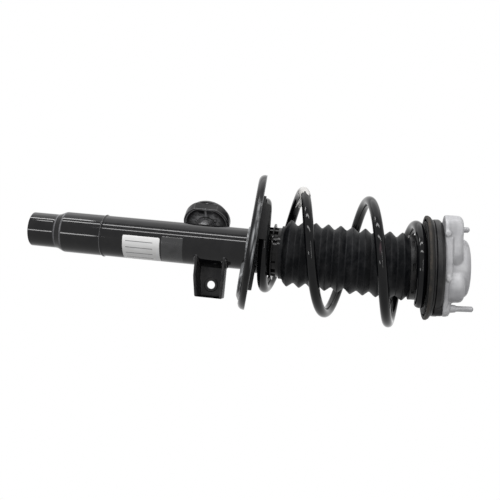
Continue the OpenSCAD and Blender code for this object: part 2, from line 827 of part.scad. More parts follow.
// The flange's outline: round lobes, straight sides between them, and a long near edge.
near_y = stud_circle_r * sin(stud_angle) - lobe_rs[0];
function lobe_arc(i) =
    let (a = stud_angle + 120 * i)
    [for (k = [-6 : 6]) let (b = a + 10 * k)
        stud_circle_r * [cos(a), sin(a)] + lobe_rs[i] * [cos(b), sin(b)]];
flange_outline = concat(lobe_arc(0), [[0.3 * stud_circle_r, near_y]], lobe_arc(1), lobe_arc(2));

module mount_casting() {
    boss_r = 4;
    boss_at = [[-0.755 * stud_circle_r, flange_low + 3.5], [0.22 * stud_circle_r, flange_low + 5.5]];
    web_w = 26;
    step = 0.4;
    root = flange_low + 2;
    web_tops = [lobe_tops[0] - 2 * step, lobe_tops[1] - 4, lobe_tops[2] + 4];
    flank_r = 23;
    flank_top = 19.5;
    flank_edge = 4;
    web_reach = stud_circle_r * [1, 0.8, 0.72];
    ear_top = flange_low + 9.5;
    wall_x = stud_circle_r * cos(stud_angle);
    stud_y = near_y + lobe_rs[0];
    wall_y = near_y + 4;
    wall_r = lobe_rs[0] - step;
    wall_turn = 90 + asin((stud_y - wall_y) / wall_r);
    shoulder = 8;
    mouth_r = 24;
    color("#c9cbcd") in_mount() difference() {
        union() {
            translate([0, 0, flange_low]) linear_extrude(flange_t) polygon(flange_outline);
            stud_place(2) disc(lobe_rs[2] - step, root, lobe_tops[2]);
            translate([0, 0, root]) linear_extrude(lobe_tops[0] - root) polygon(concat(
                [for (k = [0 : 16]) let (a = 90 + k * wall_turn / 16)
                    [wall_x + wall_r * cos(a), stud_y + wall_r * sin(a)]],
                [[0.3 * wall_x, wall_y], [0.3 * wall_x, 0.35 * wall_y]]
            ));
            stud_place(1) {
                disc(lobe_rs[1] - step, root, ear_top);
                translate([0, 0, ear_top])
                    cylinder(r1 = shank_r + 1.6, r2 = shank_r + 0.7, h = lobe_tops[1] - ear_top);
            }
            for (i = [0 : 2]) rotate([0, 0, stud_angle + 120 * i]) translate([0, -web_w / 2, root])
                cube([web_reach[i], web_w, web_tops[i] - root]);
            translate([0.35 * stud_circle_r, -0.35 * stud_circle_r, 0]) {
                disc(flank_r, root, flank_top - flank_edge);
                translate([0, 0, flank_top - flank_edge])
                    cylinder(r1 = flank_r, r2 = flank_r - flank_edge, h = flank_edge);
            }
            translate([0.8 * wall_x, near_y - 0.7, flange_low + 1]) cube([-wall_x, 7, 9]);
            rotate_extrude() polygon(concat(
                [[0, root], [housing_r, root]],
                [for (a = [0 : 15 : 90])
                    [housing_r - shoulder + shoulder * cos(a), housing_top - shoulder + shoulder * sin(a)]],
                [[0, housing_top]]
            ));
            for (p = boss_at) translate([p[0], near_y + 3, p[1]]) rotate([90, 0, 0])
                cylinder(r = boss_r, h = boss_r + 1);
        }
        disc(bush_r, flange_low - cut, bush_top);
        disc(mouth_r, flange_low, housing_top + cut);
        for (i = [0 : 2]) stud_place(i) disc(shank_r, flange_low - cut, lobe_tops[i] + cut);
    }
}

module mount_rubber() {
    half = core_half_h - 2;
    mouth = core_r * 0.95;
    color("#121212") in_mount() difference() {
        disc(bush_r, flange_low, bush_top);
        sphere(r = core_r + rest_gap);
        disc(mouth, -bush_r, -half + cut);
        disc(mouth + 4, half - cut, housing_top);
    }
}

module mount_core() {
    color("#a4a6a8") translate([0, 0, pivot_z]) difference() {
        intersection() {
            sphere(r = core_r);
            disc(core_r + cut, -core_half_h, core_half_h);
        }
        disc(thread_r, -core_r, core_r);
    }
}

module core_washer() {
    color("#b4b6b8") ring(core_r - 1, thread_r, core_top, core_top + washer_t);
}

module rod_nut() {
    low = core_top + washer_t;
    color("#b9b08a") difference() {
        translate([0, 0, low]) cylinder(r = thread_r * 1.65, h = rod_nut_h, $fn = 6);
        disc(thread_r, low - cut, low + rod_nut_h + cut);
    }
}

module mount_studs() {
    color("#bfc1c4") in_mount() for (i = [0 : 2]) stud_place(i) {
        disc(shank_r, flange_low, lobe_tops[i]);
        disc(stud_r, lobe_tops[i], stud_tips[i] - stud_chamfer);
        translate([0, 0, stud_tips[i] - stud_chamfer])
            cylinder(r1 = stud_r, r2 = stud_r - stud_chamfer, h = stud_chamfer);
    }
}

reservoir_tube();
base_cap();
foot_valve();
pressure_tube();
rod_guide();
rod_guide_bush();
rod_seal();
tube_cap();
boot_collar();
spring_perch();
lower_spring_pad();
coil_spring();
dust_boot();
hose_bracket();
valve_neck();
valve_can();
valve_cover();
valve_connector();
piston_rod();
piston();
piston_band();
valve_discs();
piston_nut();
rebound_stop();
bump_stop();
bump_stop_cup();
upper_spring_seat();
upper_spring_pad();
boot_clip_ring();
bearing_lower_race();
bearing_cage();
bearing_balls();
bearing_upper_race();
bearing_cover();
mount_casting();
mount_rubber();
mount_core();
core_washer();
rod_nut();
mount_studs();
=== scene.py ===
import math

import bmesh
import bpy
import numpy as np
from mathutils import Matrix


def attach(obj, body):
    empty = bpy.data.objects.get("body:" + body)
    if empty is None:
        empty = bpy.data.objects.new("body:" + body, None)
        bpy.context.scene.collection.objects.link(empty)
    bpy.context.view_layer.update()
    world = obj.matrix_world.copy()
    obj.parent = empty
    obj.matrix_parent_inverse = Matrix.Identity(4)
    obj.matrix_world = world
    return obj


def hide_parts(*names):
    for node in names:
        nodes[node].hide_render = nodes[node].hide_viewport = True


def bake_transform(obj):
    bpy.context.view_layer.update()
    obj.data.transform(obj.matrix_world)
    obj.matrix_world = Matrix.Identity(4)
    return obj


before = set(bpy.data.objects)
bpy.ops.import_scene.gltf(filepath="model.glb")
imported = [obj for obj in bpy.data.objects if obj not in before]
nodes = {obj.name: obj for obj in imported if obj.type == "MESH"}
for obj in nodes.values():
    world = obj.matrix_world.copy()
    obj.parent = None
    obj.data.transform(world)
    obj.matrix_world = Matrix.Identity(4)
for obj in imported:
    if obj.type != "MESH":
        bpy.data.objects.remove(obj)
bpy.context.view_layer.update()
mm = 0.001
print("frame loaded with", len(nodes), "nodes")


# shader nodes

def feed(tree, socket, value):
    # a socket is linked, and a plain value is set
    if isinstance(value, bpy.types.NodeSocket):
        tree.links.new(value, socket)
    else:
        socket.default_value = value


def put(tree, kind, feeds=(), **settings):
    node = tree.nodes.new("ShaderNode" + kind)
    for key, value in settings.items():
        setattr(node, key, value)
    for key, value in dict(feeds).items():
        feed(tree, node.inputs[key], value)
    return node


def calc(tree, how, *values, clamp=False):
    return put(tree, "Math", enumerate(values), operation=how, use_clamp=clamp).outputs[0]


def spread(tree, value, low=0.0, high=1.0, toLow=0.0, toHigh=1.0):
    # low..high becomes toLow..toHigh, and what lies outside is held at the ends
    feeds = {"Value": value, "From Min": low, "From Max": high, "To Min": toLow, "To Max": toHigh}
    return put(tree, "MapRange", feeds).outputs[0]


def noise(tree, scale, detail, roughness, where=None):
    if where is None:
        where = put(tree, "TexCoord").outputs["Object"]
    feeds = dict(Vector=where, Scale=scale, Detail=detail, Roughness=roughness)
    return put(tree, "TexNoise", feeds).outputs["Fac"]


def mixed(tree, share, first, second):
    # the first colour where share is 0, the second where it is 1
    return put(tree, "Mix", {"Factor": share, 6: first, 7: second}, data_type="RGBA").outputs[2]


def marked(tree, label):
    # the value that markPoints gave each point of the mesh
    return put(tree, "Attribute", attribute_name=label).outputs["Fac"]


def grouped(tree, group, **values):
    # one of the shared effects, with values of its own
    return put(tree, "Group", values, node_tree=group).outputs


# camera and lamps

view = dict(place=(0.0007, -0.975, 0.320), yaw=7.0, roll=5.49, lens=53.2)


def aim(obj, right, up, back, place):
    turn = np.eye(4)
    turn[:3, :3] = np.stack([right, up, back], 1)
    turn[:3, 3] = place
    obj.matrix_world = Matrix(turn.tolist())
    bpy.context.scene.collection.objects.link(obj)


def addCamera():
    yaw, roll = math.radians(view["yaw"]), math.radians(view["roll"])
    along = np.array([0, math.sin(yaw), math.cos(yaw)])  # up the strut, square to the line of sight
    across = np.array([1.0, 0, 0])
    right = math.cos(roll) * along - math.sin(roll) * across
    up = -math.sin(roll) * along - math.cos(roll) * across
    back = np.array([0, -math.cos(yaw), math.sin(yaw)])
    cam = bpy.data.objects.new("camera", bpy.data.cameras.new("camera"))
    aim(cam, right, up, back, view["place"])
    cam.data.lens = view["lens"]
    cam.data.sensor_width = 36
    cam.data.clip_start = 0.01
    bpy.context.scene.camera = cam


# each lamp: direction round the strut from the camera's side (towards -X), distance, middle height, size
# along and across the strut, radiance
lamps = [
    dict(turn=64, far=1.5, z=-0.05, along=1.5, across=0.14, glow=17),
    dict(turn=41, far=1.5, z=0.19, along=1.36, across=0.11, glow=17),
    dict(turn=82, far=1.5, z=-0.80, along=0.55, across=0.15, glow=19),
    dict(turn=-8, far=1.5, z=-0.74, along=0.46, across=0.13, glow=18),
    dict(turn=8, far=1.32, z=0.80, along=0.10, across=0.7, glow=14),
    dict(turn=108, far=1.5, z=0.15, along=2.2, across=1.5, glow=0.8),
]


def addLamps():
    for k, s in enumerate(lamps):
        a = math.radians(s["turn"])
        out = np.array([-math.sin(a), -math.cos(a), 0])
        lamp = bpy.data.lights.new(f"lamp{k}", "AREA")
        lamp.shape = "RECTANGLE"
        lamp.size, lamp.size_y = s["across"], s["along"]
        lamp.energy = s["glow"] * math.pi * s["across"] * s["along"]
        obj = bpy.data.objects.new(lamp.name, lamp)
        up = np.array([0, 0, 1])
        aim(obj, np.cross(up, out), up, out, out * s["far"] + up * s["z"])
        obj.visible_camera = False


def addWorld(fill=0.25):
    # white to the camera, to mirrors and through glass, and a soft fill to all else
    world = bpy.data.worlds.new("studio")
    bpy.context.scene.world = world
    world.use_nodes = True
    tree = world.node_tree
    rays = put(tree, "LightPath").outputs
    seen = calc(tree, "ADD", rays["Is Camera Ray"], rays["Is Glossy Ray"])
    seen = calc(tree, "ADD", seen, rays["Is Transmission Ray"], clamp=True)
    shade = tree.nodes["Background"].inputs
    feed(tree, shade["Strength"], spread(tree, seen, toLow=fill))
    feed(tree, shade["Color"], (1, 1, 1, 1))


addCamera()
addLamps()
addWorld()
bpy.context.scene.view_settings.view_transform = "Standard"
print("camera, lamps and world placed")


# places: millimetres in a piece's own frame to metres in the strut's frame

mountPlace = dict(z=455.0, tilt=4.0)
perchPlace = dict(z=196.2, tilt=4.5, roll=6.8, offset=10.5)
valvePlace = dict(z=133.0, turn=135.0)


def cosSin(degrees):
    return math.cos(math.radians(degrees)), math.sin(math.radians(degrees))


def inStrut(p):
    return np.asarray(p, float) * mm


def inMount(p):
    # x' = x cos t - h sin t, z' = pivot + x sin t + h cos t
    p = np.asarray(p, float)
    c, s = cosSin(mountPlace["tilt"])
    z = mountPlace["z"] + p[..., 0] * s + p[..., 2] * c
    return np.stack([p[..., 0] * c - p[..., 2] * s, p[..., 1], z], -1) * mm


def inPerch(p, offset=None):
    # rolled about X, then tilted about Y: y' = y cos r + h sin r, h' = h cos r - y sin r, and so on
    p = np.asarray(p, float)
    c, s = cosSin(perchPlace["tilt"])
    cr, sr = cosSin(perchPlace["roll"])
    x = p[..., 0] - (perchPlace["offset"] if offset is None else offset)
    y, h = p[..., 1] * cr + p[..., 2] * sr, p[..., 2] * cr - p[..., 1] * sr
    return np.stack([x * c + h * s, y, perchPlace["z"] - x * s + h * c], -1) * mm


def inValve(p):
    # the piece's x runs down the strut, its z runs out of the tube at the valve's angle
    p = np.asarray(p, float)
    c, s = cosSin(valvePlace["turn"])
    x, y = p[..., 2] * c - p[..., 1] * s, p[..., 2] * s + p[..., 1] * c
    return np.stack([x, y, valvePlace["z"] - p[..., 0]], -1) * mm


# outlines

def box(x0, x1, y0, y1):
    # a rectangle's four corners
    return [[x0, y0], [x1, y0], [x1, y1], [x0, y1]]


def arcPoints(x, y, r, start, end, count):
    # (x + r cos a, y + r sin a), with a from start to end in equal steps
    a = np.radians(np.linspace(start, end, count))
    return np.stack([x + r * np.cos(a), y + r * np.sin(a)], 1)


def rounded(corners, radius, steps=6, closed=True):
    # each corner becomes p(t) = (1-t)^2 a + 2t(1-t) corner + t^2 b, with a and b on its two sides
    p = np.asarray(corners, float)
    before, after = np.roll(p, 1, 0) - p, np.roll(p, -1, 0) - p
    lb = np.linalg.norm(before, axis=1, keepdims=True)
    la = np.linalg.norm(after, axis=1, keepdims=True)
    r = np.broadcast_to(np.asarray(radius, float).reshape(-1, 1), (len(p), 1))
    r = np.minimum(r, 0.49 * np.minimum(lb, la))
    if not closed:
        r = r.copy()
        r[[0, -1]] = 0
    a, b = p + before / np.maximum(lb, 1e-9) * r, p + after / np.maximum(la, 1e-9) * r
    t = np.linspace(0, 1, steps)[None, :, None]
    arc = (1 - t) ** 2 * a[:, None] + 2 * t * (1 - t) * p[:, None] + t ** 2 * b[:, None]
    arc = arc.reshape(-1, p.shape[1])
    keep = np.linalg.norm(np.roll(arc, 1, 0) - arc, axis=1) > 1e-6
    return arc[keep]


def evenly(loop, count):
    # the same closed outline with its points at equal steps
    p = np.concatenate([loop, loop[:1]])
    s = np.concatenate([[0], np.cumsum(np.linalg.norm(np.diff(p, axis=0), axis=1))])
    at = np.linspace(0, s[-1], count, endpoint=False)
    return np.stack([np.interp(at, s, p[:, k]) for k in range(p.shape[1])], 1)


def outward(outline):
    # each point's normal, square to the line through its two neighbours
    step = np.roll(outline, -1, 0) - np.roll(outline, 1, 0)
    normal = np.stack([step[:, 1], -step[:, 0]], 1)
    return normal / np.maximum(np.linalg.norm(normal, axis=1, keepdims=True), 1e-9)


# surfaces on a grid of two parameters

def turned(profile, sides=128, start=0.0, end=360.0):
    # point(u, v) = (r(v) cos u, r(v) sin u, h(v))
    full = abs(end - start) >= 360
    u = np.radians(np.linspace(start, end, sides, endpoint=not full))[:, None]
    r, h = np.asarray(profile, float)[None, :, 0], np.asarray(profile, float)[None, :, 1]
    return np.stack([r * np.cos(u), r * np.sin(u), np.broadcast_to(h, (len(u), h.shape[1]))], -1)


def turnedAt(profile, sides, middle=(0, 0)):
    # the same round an upright line at middle, for a profile that starts and ends on that line
    grid = turned(profile, sides).transpose(1, 0, 2)
    grid[..., :2] += middle
    return grid


def pushed(outline, stations):
    # point(u, v) = (x(v), y(v), h(u)), with the outline grown by g(u) along its own normals
    o = np.asarray(outline, float)
    h, g = np.asarray(stations, float).T
    xy = o[None] + g[:, None, None] * outward(o)[None]
    return np.concatenate([xy, np.broadcast_to(h[:, None, None], xy.shape[:2] + (1,))], -1)


def swept(path, radius, sides=24):
    # point(u, v) = path(u) + r(u) (cos v out(u) + sin v up(u))
    p = np.asarray(path, float)
    ahead = np.gradient(p, axis=0)
    ahead /= np.linalg.norm(ahead, axis=1, keepdims=True)
    ref = np.where(np.abs(ahead[:, 2:]) > 0.9, [[1.0, 0, 0]], [[0, 0, 1.0]])
    out = np.cross(ref, ahead)
    out /= np.linalg.norm(out, axis=1, keepdims=True)
    up = np.cross(ahead, out)
    v = np.linspace(0, 2 * np.pi, sides, endpoint=False)[None, :, None]
    r = np.broadcast_to(np.asarray(radius, float).reshape(-1, 1), (len(p), 1))[:, None]
    return p[:, None] + r * (np.cos(v) * out[:, None] + np.sin(v) * up[:, None])


def shell(points, closeRows=False, closeCols=True, caps=False):
    # quads between neighbouring grid points, and fans over the first and last row where asked
    rows, cols = points.shape[:2]
    i = np.arange(rows if closeRows else rows - 1)[:, None]
    j = np.arange(cols if closeCols else cols - 1)[None, :]
    i2, j2 = (i + 1) % rows, (j + 1) % cols
    around = np.broadcast_arrays(i * cols + j, i * cols + j2, i2 * cols + j2, i2 * cols + j)
    quads = np.stack(around, -1).reshape(-1, 4)
    verts, tris = points.reshape(-1, 3), np.zeros((0, 3), int)
    if caps:
        ends = np.stack([points[0].mean(0), points[-1].mean(0)])
        n, k, k2 = len(verts), np.arange(cols), (np.arange(cols) + 1) % cols
        first = np.stack([np.full(cols, n), k2, k], 1)
        last = np.stack([np.full(cols, n + 1), (rows - 1) * cols + k, (rows - 1) * cols + k2], 1)
        verts, tris = np.concatenate([verts, ends]), np.concatenate([first, last])
    # the signed volume tells which way the faces point
    a, b, c, d = (verts[quads[:, k]] for k in range(4))
    volume = (np.cross(a, b) * c).sum() + (np.cross(a, c) * d).sum()
    if len(tris):
        a, b, c = (verts[tris[:, k]] for k in range(3))
        volume += (np.cross(a, b) * c).sum()
    if volume < 0:
        quads, tris = quads[:, ::-1], tris[:, ::-1]
    return verts, quads, tris


def ringShell(points):
    # for a closed outline that is turned all the way round
    return shell(points, closeRows=True)


def joined(*shells):
    # several shells in one mesh
    counts = np.cumsum([0] + [len(s[0]) for s in shells])
    return (np.concatenate([s[0] for s in shells]),
            np.concatenate([s[1] + c for s, c in zip(shells, counts)]),
            np.concatenate([s[2] + c for s, c in zip(shells, counts)]))


# objects

def newObject(name, form):
    verts, quads, tris = form
    mesh = bpy.data.meshes.new(name)
    mesh.from_pydata(verts.tolist(), [], quads.tolist() + tris.tolist())
    obj = bpy.data.objects.new(name, mesh)
    bpy.context.scene.collection.objects.link(obj)
    return obj


def mendMesh(mesh, weld=0.0, fill=False):
    # points nearer each other than weld are made one, and open ends are filled where asked
    bm = bmesh.new()
    bm.from_mesh(mesh)
    if weld:
        bmesh.ops.remove_doubles(bm, verts=bm.verts, dist=weld)
    if fill:
        bmesh.ops.holes_fill(bm, edges=bm.edges, sides=0)
    bm.to_mesh(mesh)
    bm.free()


def smoothed(mesh, sharp):
    mesh.shade_smooth()
    mesh.set_sharp_from_angle(angle=math.radians(sharp))


def makePiece(name, form, finish, body=None, hides=(), sharp=38, weld=0.0):
    obj = newObject(name, form)
    if weld:
        mendMesh(obj.data, weld=weld)
    smoothed(obj.data, sharp)
    obj.data.materials.append(finishes[finish])
    if body:
        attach(obj, body)
    if hides:
        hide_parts(*hides)
    return obj


def markPoints(obj, label, values):
    mark = obj.data.attributes.new(label, "FLOAT", "POINT")
    mark.data.foreach_set("value", np.asarray(values, np.float32).reshape(-1))


def bakeModifiers(obj):
    dg = bpy.context.evaluated_depsgraph_get()
    mesh = bpy.data.meshes.new_from_object(obj.evaluated_get(dg))
    old = obj.data
    obj.modifiers.clear()
    obj.data = mesh
    mesh.name = obj.name
    bpy.data.meshes.remove(old)


def cutWith(obj, cutter):
    mod = obj.modifiers.new("cut", "BOOLEAN")
    mod.operation, mod.solver, mod.object = "DIFFERENCE", "EXACT", cutter
    bakeModifiers(obj)
    mesh = cutter.data
    bpy.data.objects.remove(cutter)
    bpy.data.meshes.remove(mesh)


# effects that several finishes share

def newGroup(name, inputs, outputs):
    tree = bpy.data.node_groups.new(name, "ShaderNodeTree")
    for label, value in inputs.items():
        kind = "NodeSocketColor" if isinstance(value, tuple) else "NodeSocketFloat"
        tree.interface.new_socket(label, in_out="INPUT", socket_type=kind).default_value = value
    for label in outputs:
        kind = "NodeSocketColor" if label == "Color" else "NodeSocketFloat"
        tree.interface.new_socket(label, in_out="OUTPUT", socket_type=kind)
    return tree, tree.nodes.new("NodeGroupInput").outputs, tree.nodes.new("NodeGroupOutput").inputs


def makeGrain():
    # fine unevenness of a painted, moulded or cast skin: its height and a faint change of shade
    tree, given, out = newGroup("skinGrain", dict(Scale=900.0, Blotch=40.0), ["Height", "Shade"])
    feed(tree, out["Height"], noise(tree, given["Scale"], 4.0, 0.6))
    feed(tree, out["Shade"], noise(tree, given["Blotch"], 5.0, 0.65))
    return tree


def makeDust():
    # a thin film of dust in patches, with specks in it
    inputs = dict(Clean=(0, 0, 0, 1), Dust=(0.3, 0.27, 0.23, 1), Amount=0.5, Scale=60.0)
    tree, given, out = newGroup("dustFilm", inputs, ["Color", "Mask"])
    patch = spread(tree, noise(tree, given["Scale"], 8.0, 0.72), 0.42, 0.68)
    mask = calc(tree, "MULTIPLY", patch, given["Amount"], clamp=True)
    feed(tree, out["Color"], mixed(tree, mask, given["Clean"], given["Dust"]))
    feed(tree, out["Mask"], mask)
    return tree


def makeScuffs():
    # scratches drawn out along the strut, with a few specks
    tree, given, out = newGroup("scuffMarks", dict(Amount=0.5, Scale=120.0), ["Mask"])
    where = put(tree, "TexCoord").outputs["Object"]
    drawn = put(tree, "Mapping", dict(Vector=where, Scale=(1.0, 1.0, 0.16), Rotation=(0.06, 0.04, 0.0)))
    thin = spread(tree, noise(tree, given["Scale"], 6.0, 0.8, drawn.outputs[0]), 0.66, 0.74)
    feed(tree, out["Mask"], calc(tree, "MULTIPLY", thin, given["Amount"], clamp=True))
    return tree


def makeEdgeWear():
    # where a closely meshed surface turns outwards, broken up by noise
    tree, given, out = newGroup("edgeWear", dict(Amount=1.0, Low=0.52, High=0.6), ["Mask"])
    ridge = spread(tree, put(tree, "NewGeometry").outputs["Pointiness"], given["Low"], given["High"])
    chips = spread(tree, noise(tree, 260.0, 5.0, 0.7), 0.35, 0.6)
    both = calc(tree, "MULTIPLY", ridge, chips)
    feed(tree, out["Mask"], calc(tree, "MULTIPLY", both, given["Amount"], clamp=True))
    return tree


def makeHeightBand():
    # 1 between two heights on the strut, with soft ends
    tree, given, out = newGroup("heightBand", dict(Low=0.0, High=0.01, Soft=0.001), ["Mask"])
    z = put(tree, "SeparateXYZ", {0: put(tree, "TexCoord").outputs["Object"]}).outputs["Z"]
    up, down = calc(tree, "SUBTRACT", z, given["Low"]), calc(tree, "SUBTRACT", given["High"], z)
    least = calc(tree, "MINIMUM", up, down)
    feed(tree, out["Mask"], calc(tree, "DIVIDE", least, given["Soft"], clamp=True))
    return tree


grain, dust, scuffs = makeGrain(), makeDust(), makeScuffs()
edgeWear, heightBand = makeEdgeWear(), makeHeightBand()


# finishes

def newFinish(name, roughness, metallic, specular):
    mat = bpy.data.materials.new(name)
    mat.use_nodes = True
    shader = mat.node_tree.nodes["Principled BSDF"].inputs
    shader["Roughness"].default_value = roughness
    shader["Metallic"].default_value = metallic
    shader["Specular IOR Level"].default_value = specular
    return mat, mat.node_tree, shader


def rgba(c):
    return (*c, 1.0)


def addBump(tree, shader, height, strength, deep):
    lift = put(tree, "Bump", dict(Height=height, Strength=strength, Distance=deep))
    feed(tree, shader["Normal"], lift.outputs[0])


def paintFinish(name, color, wornAndHighlight, roughness, specular, wear, dusty, bump, dull=0.42, scale=120.0, highlightBands=(),
                highlightBandAmount=0.95, edges=0.0, highlightAndRub=0.0):
    # black paint with dust in patches, worn to a lighter undercoat by scuffs and at edges; the same lighter
    # colour paints highlight rings in bands, and painted highlights where the mesh's attribute says
    mat, tree, shader = newFinish(name, roughness, 0.0, specular)
    skin = grouped(tree, grain, Scale=520.0, Blotch=28.0)
    film = grouped(tree, dust, Clean=rgba(color), Dust=(0.22, 0.21, 0.2, 1), Amount=dusty, Scale=45.0)
    marks = [grouped(tree, scuffs, Amount=wear, Scale=scale)["Mask"]]
    # each band is a painted highlight ring round the tube, broken up a little by the skin's shade
    for low, high, soft in highlightBands:
        broken = calc(tree, "MULTIPLY", spread(tree, skin["Shade"], 0.35, 0.6), highlightBandAmount)
        highlightBand = grouped(tree, heightBand, Low=low, High=high, Soft=soft)["Mask"]
        marks.append(calc(tree, "MULTIPLY", highlightBand, broken))
    if edges:
        marks.append(grouped(tree, edgeWear, Amount=edges, Low=0.52, High=0.58)["Mask"])
    # painted highlights on the perch, and lighter lines along the can's rim, where the attribute says
    if highlightAndRub:
        broken = spread(tree, skin["Shade"], 0.3, 0.48, toHigh=highlightAndRub)
        marks.append(calc(tree, "MULTIPLY", marked(tree, "highlightAndRub"), broken))
    mask = marks[0]
    for mark in marks[1:]:
        mask = calc(tree, "MAXIMUM", mask, mark)
    feed(tree, shader["Base Color"], mixed(tree, mask, film["Color"], rgba(wornAndHighlight)))
    spoilt = calc(tree, "ADD", film["Mask"], mask, clamp=True)
    feed(tree, shader["Roughness"], spread(tree, spoilt, toLow=roughness, toHigh=dull))
    if bump:
        addBump(tree, shader, skin["Height"], bump, 0.0005)
    return mat


def mouldedFinish(name, color, roughness, specular, dusty, dustColor=(0.2, 0.19, 0.18), bump=0.15, scale=60.0,
                  grainScale=1400.0, dustBy=None):
    # rubber, plastic, foam or paper: a fine grain, uneven shade and dust
    mat, tree, shader = newFinish(name, roughness, 0.0, specular)
    skin = grouped(tree, grain, Scale=grainScale, Blotch=32.0)
    amount = spread(tree, marked(tree, dustBy), toHigh=dusty) if dustBy else dusty
    film = grouped(tree, dust, Clean=rgba(color), Dust=rgba(dustColor), Amount=amount, Scale=scale)
    feed(tree, shader["Base Color"], film["Color"])
    duller = spread(tree, film["Mask"], toLow=roughness, toHigh=min(1.0, roughness + 0.25))
    feed(tree, shader["Roughness"], duller)
    addBump(tree, shader, skin["Height"], bump, 0.0004)
    return mat


def metalFinish(name, color, dark, roughness, bump=0.08, scale=700.0, blotch=60.0, edges=0.0, metallic=1.0):
    # bare metal: a change of tone and gloss over the surface, brighter on its rubbed edges
    mat, tree, shader = newFinish(name, roughness, metallic, 0.5)
    skin = grouped(tree, grain, Scale=scale, Blotch=blotch)
    tone = mixed(tree, spread(tree, skin["Shade"], 0.3, 0.7), rgba(dark), rgba(color))
    if edges:
        rim = grouped(tree, edgeWear, Amount=edges, Low=0.51, High=0.56)["Mask"]
        tone = mixed(tree, rim, tone, rgba(min(1.0, c * 1.15) for c in color))
    feed(tree, shader["Base Color"], tone)
    gloss = spread(tree, skin["Shade"], toLow=roughness + 0.1, toHigh=max(0.05, roughness - 0.1))
    feed(tree, shader["Roughness"], gloss)
    addBump(tree, shader, skin["Height"], bump, 0.0006)
    return mat


# each band, a painted highlight ring round the tube: its two heights on the strut and the width of its soft
# ends, in metres
paints = dict(
    tubePaint=dict(color=(0.004, 0.004, 0.005), wornAndHighlight=(0.2, 0.2, 0.21), roughness=0.06, specular=0.26,
                   wear=0.2, dusty=0.03, bump=0.0, dull=0.12, scale=90.0,
                   highlightBands=((-0.0655, -0.0625, 0.001), (-0.056, -0.0525, 0.0015), (0.0002, 0.0016, 0.0006))),
    perchPaint=dict(color=(0.005, 0.005, 0.006), wornAndHighlight=(0.45, 0.46, 0.47), roughness=0.15, specular=0.12,
                    wear=0.4, dusty=0.05, bump=0.02, edges=0.9, highlightAndRub=1.0),
    springPaint=dict(color=(0.002, 0.0022, 0.003), wornAndHighlight=(0.16, 0.16, 0.17), roughness=0.06, specular=0.18,
                     wear=0.12, dusty=0.02, bump=0.0, dull=0.12),
    weldPaint=dict(color=(0.01, 0.01, 0.011), wornAndHighlight=(0.15, 0.15, 0.155), roughness=0.22, specular=0.4,
                   wear=0.5, dusty=0.2, bump=0.1),
    bracketPaint=dict(color=(0.0075, 0.0075, 0.0085), wornAndHighlight=(0.12, 0.12, 0.125), roughness=0.34, specular=0.18,
                      wear=0.5, dusty=0.14, bump=0.08, edges=0.5),
    canPaint=dict(color=(0.004, 0.004, 0.005), wornAndHighlight=(0.4, 0.4, 0.41), roughness=0.2, specular=0.14, wear=0.4,
                  dusty=0.1, bump=0.03, edges=1.0, highlightAndRub=0.9),
    neckPaint=dict(color=(0.12, 0.12, 0.122), wornAndHighlight=(0.6, 0.6, 0.61), roughness=0.25, specular=0.5, wear=1.0,
                   dusty=0.1, bump=0.06, edges=1.0),
)
mouldings = dict(
    glossPlastic=dict(color=(0.003, 0.003, 0.0035), roughness=0.1, specular=0.16, dusty=0.05, bump=0.05),
    blackPlastic=dict(color=(0.008, 0.008, 0.009), roughness=0.36, specular=0.18, dusty=0.1),
    cagePlastic=dict(color=(0.55, 0.52, 0.45), roughness=0.4, specular=0.5, dusty=0.2),
    blackRubber=dict(color=(0.01, 0.01, 0.0105), roughness=0.6, specular=0.18, dusty=0.2),
    padRubber=dict(color=(0.009, 0.009, 0.0095), roughness=0.62, specular=0.2, dusty=0.2,
                   dustColor=(0.04, 0.039, 0.038), bump=0.3, scale=90.0),
    bootRubber=dict(color=(0.005, 0.0055, 0.0065), roughness=0.42, specular=0.09, dusty=0.4,
                    dustColor=(0.05, 0.05, 0.052), bump=0.12),
    seatRubber=dict(color=(0.011, 0.0105, 0.01), roughness=0.6, specular=0.25, dusty=1.0,
                    dustColor=(0.075, 0.063, 0.052), bump=0.3, dustBy="dusty"),
    bumpFoam=dict(color=(0.3, 0.24, 0.13), roughness=0.9, specular=0.2, dusty=0.4,
                  dustColor=(0.4, 0.34, 0.22), bump=0.6, grainScale=500.0),
    tagPaper=dict(color=(0.66, 0.65, 0.64), roughness=0.6, specular=0.3, dusty=0.7,
                  dustColor=(0.3, 0.29, 0.27), bump=0.5, scale=150.0, grainScale=400.0),
)
metals = dict(
    brightSteel=dict(color=(0.62, 0.62, 0.63), dark=(0.42, 0.42, 0.43), roughness=0.28),
    sinteredSteel=dict(color=(0.34, 0.34, 0.35), dark=(0.22, 0.22, 0.23), roughness=0.55, bump=0.2),
    rodChrome=dict(color=(0.78, 0.78, 0.8), dark=(0.7, 0.7, 0.72), roughness=0.12, bump=0.02),
    bronze=dict(color=(0.55, 0.42, 0.24), dark=(0.4, 0.29, 0.15), roughness=0.4),
    castAluminium=dict(color=(0.5, 0.5, 0.51), dark=(0.36, 0.36, 0.375), roughness=0.5, bump=0.35,
                       scale=380.0, blotch=55.0, edges=0.7, metallic=0.18),
    nutPlating=dict(color=(0.6, 0.56, 0.42), dark=(0.44, 0.4, 0.28), roughness=0.3),
    studPlating=dict(color=(0.42, 0.42, 0.43), dark=(0.3, 0.3, 0.31), roughness=0.5, bump=0.1, metallic=0.5),
)
finishes = {}
for maker, settings in ((paintFinish, paints), (mouldedFinish, mouldings), (metalFinish, metals)):
    for name, values in settings.items():
        finishes[name] = maker(name, **values)


